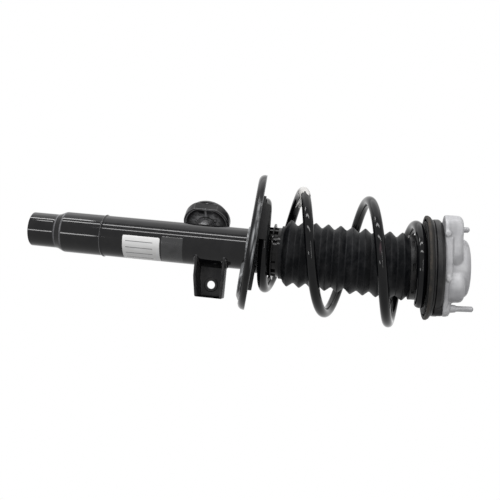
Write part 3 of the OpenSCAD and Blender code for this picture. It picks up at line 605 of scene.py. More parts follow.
def stickerFinish():
    # white paper with plain ruled lines and faint yellow smudges
    mat, tree, shader = newFinish("stickerPaper", 0.38, 0.0, 0.4)
    film = grouped(tree, dust, Clean=(0.86, 0.86, 0.86, 1), Dust=(0.6, 0.58, 0.54, 1), Amount=0.25,
                   Scale=70.0)
    wave = calc(tree, "FRACT", calc(tree, "MULTIPLY", marked(tree, "sheetT"), 2.4))
    near = calc(tree, "COMPARE", wave, 0.5, 0.06)
    within = calc(tree, "COMPARE", marked(tree, "sheetS"), -0.1, 0.72)
    rule = calc(tree, "MULTIPLY", near, within)
    feed(tree, shader["Base Color"], mixed(tree, rule, film["Color"], (0.2, 0.2, 0.21, 1)))
    return mat


def filmFinish():
    # stands for clear film over the paint: an opaque grey gloss with darker patches of dirt
    mat, tree, shader = newFinish("filmSheet", 0.22, 0.0, 0.5)
    film = grouped(tree, dust, Clean=(0.03, 0.0305, 0.032, 1), Dust=(0.004, 0.004, 0.004, 1), Amount=0.95,
                   Scale=110.0)
    feed(tree, shader["Base Color"], film["Color"])
    feed(tree, shader["Roughness"], spread(tree, film["Mask"], toLow=0.16, toHigh=0.45))
    return mat


def addPinkMark(mat):
    # a faded pink paint mark on the spring, where the attribute says
    tree = mat.node_tree
    color = tree.nodes["Principled BSDF"].inputs["Base Color"]
    under = color.links[0].from_socket
    feed(tree, color, mixed(tree, marked(tree, "pink"), under, (0.11, 0.07, 0.08, 1)))


finishes["stickerPaper"] = stickerFinish()
finishes["filmSheet"] = filmFinish()
addPinkMark(finishes["springPaint"])

nodeFinish = dict(
    tubePaint=["reservoir_tube", "base_cap", "tube_cap"],
    sinteredSteel=["foot_valve", "rod_guide", "piston"],
    brightSteel=["pressure_tube", "valve_neck", "valve_discs", "piston_nut", "bump_stop_cup", "bearing_balls",
                 "bearing_upper_race", "mount_core", "core_washer"],
    bronze=["rod_guide_bush", "piston_band"],
    blackRubber=["rod_seal", "lower_spring_pad", "rebound_stop", "upper_spring_pad", "mount_rubber"],
    glossPlastic=["boot_collar"],
    blackPlastic=["valve_cover", "valve_connector", "boot_clip_ring", "bearing_lower_race", "bearing_cover"],
    perchPaint=["spring_perch"], springPaint=["coil_spring"], bootRubber=["dust_boot"],
    bracketPaint=["hose_bracket"], canPaint=["valve_can"], rodChrome=["piston_rod"], bumpFoam=["bump_stop"],
    seatRubber=["upper_spring_seat"], cagePlastic=["bearing_cage"], castAluminium=["mount_casting"],
    nutPlating=["rod_nut"], studPlating=["mount_studs"],
)
for finish, names in nodeFinish.items():
    for name in names:
        nodes[name].data.materials.clear()
        nodes[name].data.materials.append(finishes[finish])
print("finishes made:", len(finishes))


# coil spring: rise and swell give, each half turn, how far up it is and how near its full radius

spring = dict(wire=6.5, lowR=55.5, midR=76.5, topR=52.0, start=130, end=1395, step=3.0, offset=9.5, lowH=14.8,
              topH=-35.3, sides=28, endRound=1.2, pinkAt=972, pinkHalf=9,
              rise=[0, 0, 0.08, 0.227, 0.46, 0.669, 0.837, 0.985, 1, 1],
              swell=[0, 0, 0.05, 1, 1, 1, 1, 0.08, 0, 0])


def unit(v):
    return v / np.linalg.norm(v)


def halfTurnCurve(knots, angle):
    # Catmull-Rom through one value each half turn
    k = np.asarray(knots, float)
    i = np.floor(angle / 180).astype(int)
    t = angle / 180 - i
    p0, p1, p2, p3 = (k[np.clip(i + d, 0, len(k) - 1)] for d in (-1, 0, 1, 2))
    return np.clip(p1 + t * (p2 - p0) / 2 + t * t * (p0 - 2.5 * p1 + 2 * p2 - p3 / 2)
                   + t ** 3 * (1.5 * p1 - 1.5 * p2 + (p3 - p0) / 2), 0, 1)


def coilPath(angle):
    # c(a) = low + (top - low) rise(a) + r(a) (cos a, sin a, 0), rolled and leaned with the perch at its foot
    # and with the mount at its head
    s = spring
    tp, tm, roll = (math.radians(v) for v in (perchPlace["tilt"], mountPlace["tilt"], perchPlace["roll"]))
    low = inPerch([0, 0, s["lowH"]], s["offset"]) / mm
    top = inMount([0, 0, s["topH"]]) / mm
    rise, swell = halfTurnCurve(s["rise"], angle), halfTurnCurve(s["swell"], angle)
    endR = s["lowR"] + (s["topR"] - s["lowR"]) * rise
    r = endR + (s["midR"] - endR) * swell
    lean = tp - (tm + tp) * rise
    roll = roll * (1 - rise) ** 6
    a = np.radians(angle)
    lift = -np.sin(a) * np.sin(roll)
    ring = np.stack([np.cos(a) * np.cos(lean) + lift * np.sin(lean), np.sin(a) * np.cos(roll),
                     lift * np.cos(lean) - np.cos(a) * np.sin(lean)], -1)
    return low + (top - low) * rise[:, None] + r[:, None] * ring, rise


def addSpring():
    s = spring
    w, cut, sides = s["wire"], s["endRound"], s["sides"]
    angle = np.arange(s["start"], s["end"] + s["step"] / 2, s["step"])
    path, rise = coilPath(angle)
    first, last = unit(path[0] - path[1]), unit(path[-1] - path[-2])
    path = np.concatenate([path[:1] + first * 2 * w, path[:1] + first * (2 * w - cut), path,
                           path[-1:] + last * (2 * w - cut), path[-1:] + last * 2 * w])
    rise = np.concatenate([rise[:1], rise[:1], rise, rise[-1:], rise[-1:]])
    radius = np.full(len(path), w)
    radius[[0, -1]] = w - cut
    obj = makePiece("coilSpring", shell(inStrut(swept(path, radius, sides)), caps=True), "springPaint",
                    hides=["coil_spring"], sharp=50)
    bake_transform(obj)
    # the mark is a bell round one angle, on the side that faces -Y
    turn = np.concatenate([[angle[0]] * 2, angle, [angle[-1]] * 2])
    middle = np.repeat(path, sides, 0)
    outY = (np.asarray([v.co.y for v in obj.data.vertices])[:len(middle)] / mm - middle[:, 1]) / w
    bell = np.exp(-((np.repeat(turn, sides) - s["pinkAt"]) / s["pinkHalf"]) ** 4)
    markPoints(obj, "pink", np.append(bell * np.clip((-outY - 0.955) / 0.03, 0, 1), [0, 0]))


addSpring()
print("coil spring wound")


# torn paper tag round the spring's first crest, from one angle of the coil to another, with a loose flap

tag = dict(first=546.0, last=569.0, over=0.25, rows=25, cols=61, thick=0.2, flapStart=(-73.4, -15.0, 266.0),
           flapAlong=(12.5, -2.5, -5.5), flapAcross=(1.5, 0.5, 4.6))


def addTag():
    g = tag
    size = (g["rows"], g["cols"])
    v = np.linspace(0, 2 * np.pi, g["cols"])[None, :]
    u = np.linspace(0, 1, g["rows"])[:, None]
    # both ends wander round the wire, as torn paper does
    first = g["first"] + 2.4 * np.sin(2 * v + 1) + 1.6 * np.sin(5 * v) + 0.9 * np.sin(11 * v + 2)
    last = g["last"] + 3.0 * np.sin(3 * v) + 1.8 * np.sin(7 * v + 1) + 1.2 * np.sin(13 * v)
    angle = (first + (last - first) * u).reshape(-1)
    middle, rise = coilPath(angle)
    ahead = coilPath(angle + 0.5)[0] - coilPath(angle - 0.5)[0]
    ahead /= np.linalg.norm(ahead, axis=1, keepdims=True)
    out = np.cross([0, 0, 1.0], ahead)
    out /= np.linalg.norm(out, axis=1, keepdims=True)
    up = np.cross(ahead, out)
    vv = np.broadcast_to(v, size).reshape(-1, 1)
    r = spring["wire"] + g["over"] + 0.12 * np.sin(6 * vv + angle[:, None] * 0.3)
    around = middle + r * (np.cos(vv) * out + np.sin(vv) * up)
    highlightBand = shell(inStrut(around.reshape(*size, 3)[:, :-1]))
    # the flap: start + s along + t across, curled by a sine and torn at its end
    s, t = np.linspace(0, 1, 21)[:, None], np.linspace(-1, 1, 15)[None, :]
    length = s * (1 + 0.16 * np.sin(5 * t) + 0.07 * np.sin(13 * t + 1))
    flap = (g["flapStart"] + length[..., None] * np.array(g["flapAlong"])
            + (t * (1 - 0.35 * s))[..., None] * np.array(g["flapAcross"]))
    flap[..., 1] -= 1.6 * np.sin(np.pi * s) + 0.9 * s * t ** 2 - 0.5 * np.sin(7 * s + 2 * t)
    obj = makePiece("springTag", joined(highlightBand, shell(inStrut(flap), closeCols=False)), "tagPaper", sharp=60)
    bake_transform(obj)
    thick = obj.modifiers.new("thick", "SOLIDIFY")
    thick.thickness, thick.offset = g["thick"] * mm, 1.0


addTag()
print("paper tag wrapped")


# strut tube: drawn-in foot, taper, stop bead and bore

tube = dict(r=27.5, foot=23.0, wall=2.5, low=-101.0, taperLow=-64.0, taperTop=-54.0, top=256.0, beadLow=0.0,
            beadHigh=3.6, beadUp=1.2)


def addTube():
    t = tube
    low, high, bore = t["beadLow"], t["beadHigh"], t["r"] - t["wall"]
    h = np.concatenate([np.linspace(t["taperTop"] + 4, low - 1, 20), np.linspace(low - 0.5, high + 0.5, 17),
                        np.linspace(high + 1, t["top"] - 3, 60)])
    # the bead: r + up sin^2 across its width
    share = np.clip((h - low) / (high - low), 0, 1)
    r = t["r"] + t["beadUp"] * np.sin(np.pi * share) ** 2
    foot = rounded([[t["foot"] - t["wall"], t["low"]], [t["foot"], t["low"]], [t["foot"], t["taperLow"]],
                    [t["r"], t["taperTop"]], [t["r"], t["taperTop"] + 4]], [0, 0.9, 4, 4, 0], 9, False)
    top = rounded([[t["r"], t["top"] - 3], [t["r"], t["top"]], [bore, t["top"]], [bore, t["taperTop"] + 1],
                   [t["foot"] - t["wall"], t["taperLow"] - 1]], [0, 0.5, 0.5, 4, 0], 5, False)
    loop = np.concatenate([foot, np.stack([r, h], 1)[1:-1], top])
    keep = np.linalg.norm(loop - np.roll(loop, 1, 0), axis=1) > 1e-4
    makePiece("strutTube", ringShell(inStrut(turned(loop[keep], 200))), "tubePaint", "strut_tube",
              ["reservoir_tube"], sharp=45)


addTube()
print("tube drawn")


# dust boot: radii and heights, and the places of its ribs, dent and ends as shares of its length

boot = dict(ribs=10, crest=45.0, fold=38.0, wall=1.3, lowZ=244.7, lowR=34.9, topR=37.85, hubLow=-48.0,
            cuff=10.0, length=175.0, firstRib=0.05, lastRib=0.955, sides=144, dentAngle=292, dentAt=0.067,
            dentDeep=2.2)


def bootProfile():
    b = boot
    pitch = (b["lastRib"] - b["firstRib"]) / (b["ribs"] - 1)
    k = np.arange(b["ribs"])
    zig = np.zeros((2 * len(k) - 1, 2))
    zig[0::2] = np.stack([b["firstRib"] + k * pitch, np.full(len(k), b["crest"])], 1)
    zig[1::2] = np.stack([b["firstRib"] + (k[:-1] + 0.5) * pitch, np.full(len(k) - 1, b["fold"])], 1)
    foot = [[-0.02, b["lowR"]], [0.008, b["lowR"]], [0.016, b["fold"] + 1]]
    head = [[0.992, b["topR"] + 0.6], [1.0, b["topR"]], [1.0 + b["cuff"] / b["length"], b["topR"]]]
    line = np.concatenate([foot, zig, head])
    line[:, 0] *= b["length"]
    smooth = rounded(line, 2.2, 7, closed=False)
    smooth[:, 0] /= b["length"]
    return smooth


def bootPoint(share, r, angle):
    # q(s, a) = low + (hub - low) s + r (cos a cos lean, sin a, -cos a sin lean), lean = -tilt s
    tm = math.radians(mountPlace["tilt"])
    low = np.array([0, 0, boot["lowZ"]])
    hub = np.array([-boot["hubLow"] * math.sin(tm), 0, mountPlace["z"] + boot["hubLow"] * math.cos(tm)])
    s = np.minimum(share, 1)
    lean = -tm * s
    over = np.maximum(share - 1, 0) * boot["length"]
    past = np.stack([over * np.sin(lean), 0 * over, over * np.cos(lean)], -1)
    a = np.radians(angle)
    ring = np.stack([np.cos(a) * np.cos(lean), np.sin(a), -np.cos(a) * np.sin(lean)], -1)
    return low + (hub - low) * s[..., None] + past + r[..., None] * ring


def addBoot():
    b = boot
    p = bootProfile()
    angle = np.linspace(0, 360, b["sides"], endpoint=False)
    loop = np.concatenate([p, (p - [0, b["wall"]])[::-1]])
    share = np.broadcast_to(loop[None, :, 0], (b["sides"], len(loop)))
    a = np.broadcast_to(angle[:, None], share.shape)
    r = np.broadcast_to(loop[None, :, 1], share.shape).copy()
    # soft waves between the two ends, and one bell-shaped dent
    wave = 0.35 * np.sin(np.radians(a * 3) + share * 40) + 0.3 * np.sin(np.radians(a * 5) - share * 23)
    middle = np.clip(share * 12, 0, 1) * np.clip((1 - share) * 12, 0, 1)
    r -= middle * (0.65 + wave)
    r -= b["dentDeep"] * np.exp(-((a - b["dentAngle"]) / 7) ** 2 - ((share - b["dentAt"]) / 0.012) ** 2)
    obj = makePiece("dustBoot", ringShell(inStrut(bootPoint(share, r, a))), "bootRubber", hides=["dust_boot"],
                    sharp=60)
    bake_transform(obj)


addBoot()
print("dust boot pleated")


# spring perch: a pressed dish on a short neck, with a shallow pressing under its front; each painted
# highlight streak on its wall is an angle, its spread, a height and its width

perch = dict(rimR=90.5, wall=3.0, rimH=10.0, bendR=8.0, floorR=60, sides=240, neckR=30.5, neckLow=197.7,
             neckTop=219.7, tubeR=27.5, pressDrop=4.0, pressTop=1.5, pressHalf=57, pressIn=45.0,
             pressOut=81.5, highlightAndRubWidth=0.9,
             highlightStreaks=((246, 8, 6.0, 1.3), (254, 7, 8.0, 0.9), (265, 9, 5.0, 1.0), (279, 7, 8.2, 0.8)))


def tubeAround(u, r):
    # distance from the dish's middle to the tube's wall in direction u
    o = perchPlace["offset"]
    return o * np.cos(u) + np.sqrt(r * r - (o * np.sin(u)) ** 2)


def onPerchPlane(angle, r, h):
    # points on a cylinder round the strut's axis, at a height above the dish's underside
    normal = (inPerch([0, 0, 1], 0) - inPerch([0, 0, 0], 0)) / mm
    x, y = r * np.cos(angle), r * np.sin(angle)
    return np.stack([x, y, perchPlace["z"] + (h - normal[0] * x - normal[1] * y) / normal[2]], -1)


def weldBead(path, radius, seed=0, closed=False):
    # a run of overlapping drops: r(s) = radius (0.9 + 0.16 |sin(pi s / pitch)| + a slow wander)
    p = np.asarray(path, float)
    s = np.concatenate([[0], np.cumsum(np.linalg.norm(np.diff(p, axis=0), axis=1))])
    drop = np.abs(np.sin(np.pi * s / 2.6 + seed))
    r = radius * (0.9 + 0.16 * drop + 0.07 * np.sin(s * 0.9 + seed * 2) + 0.05 * np.sin(s * 2.3 + seed))
    if not closed:
        r *= np.sqrt(np.clip(np.minimum(s, s[-1] - s) / radius, 0.05, 1))
    return swept(p, r, 14)


def perchDish():
    p, w = perch, perch["wall"]
    bend = p["rimR"] - p["bendR"]
    outer = arcPoints(bend, p["bendR"], p["bendR"], -90, 0, 10)
    inner = arcPoints(bend, p["bendR"], p["bendR"] - w, -90, 0, 10)[::-1]
    edge = rounded([outer[-1], [p["rimR"], p["rimH"]], [p["rimR"] - w, p["rimH"]], inner[0]], 1.2, 6, False)
    wall = np.linspace(outer[-1], edge[1], 9)[1:-1]
    flat = np.linspace(0, 1, 8)[:, None]
    floor = (1 - flat[1:]) * inner[-1] + flat[1:] * [0, w]
    loop = np.concatenate([flat * outer[0], outer[1:], wall, edge[1:-1], inner, floor])
    grid = turned(loop, p["sides"])
    u = np.radians(np.arange(p["sides"]) * 360 / p["sides"])[:, None]
    r, far = np.hypot(grid[..., 0], grid[..., 1]), p["floorR"]
    hole = tubeAround(u, p["tubeR"] - 0.8)
    r = np.where(r < far, hole + r * (far - hole) / far, r)
    grid[..., 0], grid[..., 1] = r * np.cos(u), r * np.sin(u)
    # painted highlights along the bend and the rim's lip, and painted reflection streaks: a bell in angle
    # times a bell in height each
    x, h = loop.T
    bendHighlight = np.exp(-((np.hypot(x - bend, h) - 1.2) / p["highlightAndRubWidth"]) ** 2) * (h < 2)
    lipHighlight = np.exp(-((h - p["rimH"]) / p["highlightAndRubWidth"]) ** 2) * (x > bend)
    highlightStreak = 0
    for middle, spreadOut, height, width in p["highlightStreaks"]:
        along = np.exp(-((np.degrees(u) - middle) / spreadOut) ** 2)
        highlightStreak = np.maximum(highlightStreak, along * np.exp(-((h - height) / width) ** 2))
    atWall = (x > p["rimR"] - 1.2) * (h > 3)
    return ringShell(inPerch(grid)), np.maximum(np.maximum(bendHighlight, 0.45 * lipHighlight), atWall * highlightStreak).reshape(-1)


def perchPress():
    # the pressing: a shallow channel turned through part of a circle, fading out at both ends
    p, sides = perch, 97
    out, drop, top = p["pressOut"], p["pressDrop"], p["pressTop"]
    bottom = rounded([[p["pressIn"], top], [p["pressIn"] + 1, -drop], [out - 7, -drop], [out, top]],
                     [0, 1.5, 5, 0], 7)
    grid = turned(bottom, sides, -p["pressHalf"], p["pressHalf"])
    t = np.linspace(-1, 1, sides)[:, None]
    depth = 1 - (1 - np.clip((1 - np.abs(t)) / 0.14, 0, 1)) ** 2
    grid[..., 2] = np.where(grid[..., 2] < 1.4, 1.4 + (grid[..., 2] - 1.4) * depth, grid[..., 2])
    cols = grid.shape[1]
    # a painted highlight along one edge of the pressing
    edge = np.exp(-((np.arange(cols) - cols * 0.62) / 2.5) ** 2)
    highlightAndRub = np.append(np.broadcast_to(edge, grid.shape[:2]).reshape(-1), [0, 0])
    return shell(inPerch(grid), caps=True), highlightAndRub


def addPerch():
    p = perch
    dish, highlightDish = perchDish()
    press, highlightPress = perchPress()
    neck = rounded(box(p["tubeR"] - 0.5, p["neckR"], p["neckLow"], p["neckTop"]), [0, 0, 1.4, 0.5], 6)
    form = joined(dish, press, ringShell(inStrut(turned(neck, 96))))
    obj = makePiece("perchDish", form, "perchPaint", "strut_tube", ["spring_perch"])
    rest = np.zeros(len(obj.data.vertices) - len(highlightDish) - len(highlightPress))
    # the attribute paints highlights on the dish and on the pressing
    markPoints(obj, "highlightAndRub", np.concatenate([highlightDish, highlightPress, rest]))
    turn = np.radians(np.linspace(0, 360, 181))
    under = weldBead(onPerchPlane(turn, p["tubeR"] + 0.7, -0.3), 2.0, 1, True)
    over = weldBead(onPerchPlane(turn, p["neckR"] + 0.4, p["wall"] + 0.2), 1.5, 2, True)
    makePiece("perchWeld", joined(shell(inStrut(under)), shell(inStrut(over))), "weldPaint", "strut_tube")


addPerch()

# the lip has its full height from heightAt on, and the heel is a low wedge inside it
lowerPad = dict(inR=45, outR=66, low=3, top=8, wedgeLow=5.5, topFrom=6.2, lip=14, lipIn=62.9, lipOut=65.5,
                lipFrom=195, lipTo=264, heightAt=218, heelIn=49, heelTop=15, heelMiddle=328, heelSpan=54)


def padWedge(inR, outR, soft, start, end, count):
    # a low wall on the pad, from one angle to another
    loop = rounded(box(inR, outR, lowerPad["wedgeLow"], lowerPad["top"]), [0.2, 0.2, soft, soft], 5)
    return turned(loop, count, start, end)


def raiseTop(grid, rise):
    # the wall's top goes up by rise, which changes with the angle
    grid[..., 2] = np.where(grid[..., 2] > lowerPad["topFrom"], grid[..., 2] + rise, grid[..., 2])
    return shell(inPerch(grid, spring["offset"]), caps=True)


def addLowerPad():
    p = lowerPad
    base = turned(rounded(box(p["inR"], p["outR"], p["low"], p["top"]), 1.0, 5), 180)
    a = np.linspace(p["lipFrom"], p["lipTo"], 97)[:, None]
    # low at first, then up to its full height, with a lumpy top
    full = np.clip((a - p["heightAt"]) / 4 + 1, 0, 1)
    rise = p["lip"] * (0.4 + 0.6 * full) * (0.97 + 0.03 * np.sin(a * 0.7) * np.sin(a * 0.31))
    lip = raiseTop(padWedge(p["lipIn"], p["lipOut"], 1.2, p["lipFrom"], p["lipTo"], 97), rise)
    half = p["heelSpan"] / 2
    a = np.linspace(-1, 1, 81)[:, None]
    rise = (p["heelTop"] - p["top"]) * np.clip((1 - np.abs(a)) / 0.12, 0, 1) ** 0.5
    heel = padWedge(p["heelIn"], p["lipIn"], 1.8, p["heelMiddle"] - half, p["heelMiddle"] + half, 81)
    form = joined(ringShell(inPerch(base, spring["offset"])), lip, raiseTop(heel, rise))
    makePiece("lowerPad", form, "padRubber", "strut_tube", ["lower_spring_pad"])


addLowerPad()
print("perch and lower pad pressed")


# upper seat, its pad, the boot's clip ring and the bearing's two halves, in the mount's frame

seat = dict(hubR=36, wall=3, hubLow=-48, low=-24.5, top=-21.5, rimIn=62.5, rimOut=67.5, rimLow=-27.3,
            rimMid=-24.3, rimTop=-21.3, rimTopR=65.4)


def addUpperSeat():
    s = seat
    bore = s["hubR"] - s["wall"]
    loop = rounded([[bore, s["hubLow"]], [s["hubR"], s["hubLow"]], [s["hubR"], s["low"]],
                    [s["rimIn"], s["low"]], [s["rimIn"], s["rimLow"]], [s["rimOut"], s["rimLow"]],
                    [s["rimOut"], s["rimMid"]], [s["rimTopR"], s["rimTop"]], [s["rimIn"], s["rimTop"]],
                    [s["rimIn"], s["top"]], [bore, s["top"]]],
                   [0.8, 0.8, 2, 0.3, 1.2, 1.2, 0.8, 0.8, 0.8, 0.05, 1], 6)
    grid = turned(loop, 200)
    r = np.hypot(grid[..., 0], grid[..., 1])
    outer = np.clip((r - 64) / 3, 0, 1)
    u = np.arctan2(grid[..., 1], grid[..., 0])
    wander = 1 - 0.006 * outer * (0.5 + 0.5 * np.sin(u * 7 + 1) * np.sin(u * 3))
    # dust lies on the outer face, below its bevel
    dusty = np.clip((r - 63.5) / 1.5, 0, 1) * np.clip((-23.6 - grid[..., 2]) / 0.8, 0, 1)
    grid[..., :2] *= wander[..., None]
    obj = makePiece("upperSeat", ringShell(inMount(grid)), "seatRubber", "rod_and_seat",
                    ["upper_spring_seat"])
    markPoints(obj, "dusty", dusty)


upperPad = dict(inR=44, outR=60, low=-28.5, top=-24.5)


def addUpperPad():
    p = upperPad
    loop = rounded(box(p["inR"], p["outR"], p["low"], p["top"]), 1.1, 5)
    makePiece("upperPad", ringShell(inMount(turned(loop, 160))), "padRubber", "rod_and_seat",
              ["upper_spring_pad"])


clip = dict(inR=37.95, outR=41.9, low=-47.5, top=-37.0, slots=8, slotW=10.0, slotH=3.5, slotUp=2.5, deep=1.9,
            sides=360)


def addClipRing():
    c = clip
    h = np.linspace(c["low"] + 0.6, c["top"] - 0.6, 34)
    outer = np.stack([np.full(len(h), c["outR"]), h], 1)
    foot = rounded([[c["inR"], c["low"]], [c["outR"], c["low"]], [c["outR"], c["low"] + 1.2]],
                   [0.3, 0.5, 0], 4, False)
    head = rounded([[c["outR"], c["top"] - 1.2], [c["outR"], c["top"]], [c["inR"], c["top"]]],
                   [0, 0.5, 0.3], 4, False)
    grid = turned(np.concatenate([foot, outer[1:-1], head]), c["sides"])
    # the slots: pressed in where a point lies inside one both round the ring and along it
    u = np.radians(np.arange(c["sides"]) * 360 / c["sides"])[:, None]
    pitch = 2 * np.pi / c["slots"]
    off = (np.abs((u + pitch / 2) % pitch - pitch / 2)) * c["outR"]
    mid = c["low"] + c["slotUp"] + c["slotH"] / 2
    inside = np.clip((c["slotW"] / 2 - off) / 0.7, 0, 1)
    inside = inside * np.clip((c["slotH"] / 2 - np.abs(grid[..., 2] - mid)) / 0.5, 0, 1)
    r = np.hypot(grid[..., 0], grid[..., 1])
    r = np.where(r > c["outR"] - 0.6, r - c["deep"] * inside, r)
    grid[..., 0], grid[..., 1] = r * np.cos(u), r * np.sin(u)
    makePiece("bootClip", ringShell(inMount(grid)), "blackPlastic", "rod_and_seat", ["boot_clip_ring"])


lowerRace = dict(outR=62.5, stepR=58.4, inR=40, low=-21.5, top=-18.1, stepTop=-14.3, groove=3.3, ballR=50,
                 ballH=-13.5, land=6)


def addLowerRace():
    r = lowerRace
    deep = math.degrees(math.acos((r["ballH"] - r["stepTop"]) / r["groove"]))
    a = np.radians(np.linspace(-deep, deep, 13))
    groove = np.stack([r["ballR"] - r["groove"] * np.sin(a), r["ballH"] - r["groove"] * np.cos(a)], 1)
    outside = [[r["ballR"] - r["land"], r["stepTop"]], [r["inR"], r["stepTop"]], [r["inR"], r["low"]],
               [r["outR"], r["low"]], [r["outR"], r["top"]], [r["stepR"], r["top"]],
               [r["stepR"], r["stepTop"]], [r["ballR"] + r["land"], r["stepTop"]]]
    outside = rounded(outside, [0, 0.6, 0.8, 1.5, 1.1, 0.6, 0.6, 0], 6, False)
    makePiece("lowerRace", ringShell(inMount(turned(np.concatenate([outside, groove]), 180))), "blackPlastic",
              "rod_and_seat", ["bearing_lower_race"])


cover = dict(outR=62.5, inR=59.0, low=-17.5, shoulder=-10.9, top=-7.5, roof=-9.5, boreR=40.0, earAngle=331.5,
             earFar=57.0, earR=10.0, earRoot=50)


def outAndSide(turn):
    # the direction away from the mount's axis, and the one to its left
    c, s = math.cos(turn), math.sin(turn)
    return np.array([c, s]), np.array([-s, c])


def addCover():
    c = cover
    loop = rounded([[c["inR"], c["low"]], [c["outR"], c["low"]], [c["outR"], c["shoulder"]],
                    [c["outR"] - 3, c["top"]], [c["boreR"], c["top"]], [c["boreR"], c["roof"]],
                    [c["inR"], c["roof"]]], [0.5, 1.4, 1.6, 0.8, 0.5, 0.5, 0.8], 7)
    ring = ringShell(inMount(turned(loop, 200)))
    out, side = outAndSide(math.radians(c["earAngle"]))
    v = np.radians(np.linspace(-90, 90, 25))[:, None]
    nose = c["earFar"] * out + c["earR"] * (np.cos(v) * out + np.sin(v) * side)
    foot = np.array([c["earRoot"] * out + c["earR"] * side, c["earRoot"] * out - c["earR"] * side])
    outline = rounded(np.concatenate([nose, foot]), 1.0, 3)
    ear = pushed(outline, [[c["low"], -1.2], [c["low"] + 0.4, -0.4], [c["low"] + 1.3, 0], [c["top"] - 1.3, 0],
                           [c["top"] - 0.4, -0.4], [c["top"], -1.3]])
    # the ear stays outside the ring's inner wall
    r = np.hypot(ear[..., 0], ear[..., 1])
    ear[..., :2] *= (np.maximum(r, c["inR"] + 0.8) / r)[..., None]
    makePiece("bearingCover", joined(ring, shell(inMount(ear), caps=True)), "blackPlastic", "top_mount",
              ["bearing_cover"])


addUpperSeat()
addUpperPad()
addClipRing()
addLowerRace()
addCover()
print("upper seat and bearing turned")


# rubbers inside: bump stop and mount bush

stop = dict(z=380.5, height=62.5, r=24.0, boreR=11.35)


def addBumpStop():
    s = stop
    r, h, z = s["r"], s["height"], s["z"]
    side = [[s["boreR"], z], [r - 9, z], [r - 6, z + h * 0.1], [r - 6, z + h * 0.2], [r - 9, z + h * 0.28],
            [r - 3, z + h * 0.36], [r - 3, z + h * 0.5], [r - 7, z + h * 0.58], [r, z + h * 0.68], [r, z + h],
            [s["boreR"], z + h]]
    loop = rounded(side, [0.8, 2, 3, 3, 2.5, 3, 3, 2.5, 4, 0.8, 0.8], 8)
    makePiece("bumpStop", ringShell(inStrut(turned(loop, 96))), "bumpFoam", "rod_and_seat", ["bump_stop"])


bush = dict(outR=31.0, low=-7.5, top=20.0, coreR=16.3, coreSpan=29, half=8.0, mouth=15.2)


def addMountBush():
    b = bush
    seatCurve = arcPoints(0, 0, b["coreR"], -b["coreSpan"], b["coreSpan"], 21)[::-1]
    face = rounded([[b["mouth"] + 1, b["half"]], [b["mouth"] + 4, b["half"]], [b["mouth"] + 5, b["top"]],
                    [b["outR"], b["top"]], [b["outR"], b["low"]], [b["mouth"] + 2, b["low"]],
                    [b["mouth"], -b["half"] + 0.3]], [0, 1.5, 2.2, 0.5, 0.5, 1.2, 0.3], 6, False)
    loop = np.concatenate([seatCurve, face[::-1]])
    makePiece("mountBush", ringShell(inMount(turned(loop, 120))), "padRubber", "top_mount", ["mount_rubber"])


addBumpStop()
addMountBush()
print("bump stop and bush moulded")


# cast top mount: for each lobe its radius, angle, top and web; flank is a disc's x, y, radius and top, bar is
# its two x and two heights, and each boss is an x and a height

casting = dict(low=-7.5, flangeTop=-1.5, far=57.0, lobeR=(18.0, 10.5, 16.0), angles=(211.5, 331.5, 91.5),
               tops=(15.7, 2.0, 10.0), webTops=(14.9, 6.0, 14.0), webReach=(57.0, 45.6, 41.0), webW=26.0,
               nearY=-47.8, wallY=-43.8, slabY=(-36.0, -20.0), flank=(19.95, -19.95, 23.0, 19.5),
               bar=(-38.9, 9.7, -6.5, 2.5), collarR=(5.6, 4.7), collarTop=10.0, bossR=4.0,
               bosses=((-43.0, -4.0), (12.5, -2.0)), housingR=38.0, top=27.0, shoulder=8.0, bushR=31.0,
               bushTop=20.0, mouthR=24.0, voxel=0.9)


def flangeForm(centres, turns):
    c = casting
    low, top, arc = c["low"], c["flangeTop"], np.radians(np.linspace(-60, 60, 13))
    lobes = [p + r * np.stack([np.cos(t + arc), np.sin(t + arc)], 1)
             for p, r, t in zip(centres, c["lobeR"], turns)]
    outline = np.concatenate([lobes[0], [[0.3 * c["far"], c["nearY"]]], lobes[1], lobes[2]])
    outline = evenly(rounded(outline, 1.0, 3), 220)
    return shell(pushed(outline, [[low, -1.0], [low + 1, 0], [top - 1.2, 0], [top, -1.2]]), caps=True)


def lobeForms(k, middle, turn):
    # a round post and the web that ties it to the housing
    c = casting
    low, r, top = c["low"], c["lobeR"][k], c["tops"][k]
    profile = rounded([[0, low], [r, low], [r - 0.6, top], [0, top]], [0, 1.0, 0.55 * r, 0], 10, False)
    post = turnedAt(profile, 72, middle)
    if k == 0:  # its near side is a flat wall above the bar
        post[..., 1] = np.where(post[..., 2] > 1, np.maximum(post[..., 1], c["wallY"]), post[..., 1])
    out, side = outAndSide(turn)
    far, half, webTop = c["webReach"][k], c["webW"] / 2, c["webTops"][k]
    base = np.array([half * side, far * out + half * side, far * out - half * side, -half * side])
    web = pushed(rounded(base, [1, 8, 8, 1], 7), [[low + 0.5, 0], [webTop - 5, -0.4], [webTop - 2, -1.3],
                                                  [webTop - 0.5, -2.8], [webTop, -5.0]])
    return [shell(post), shell(web, caps=True)]


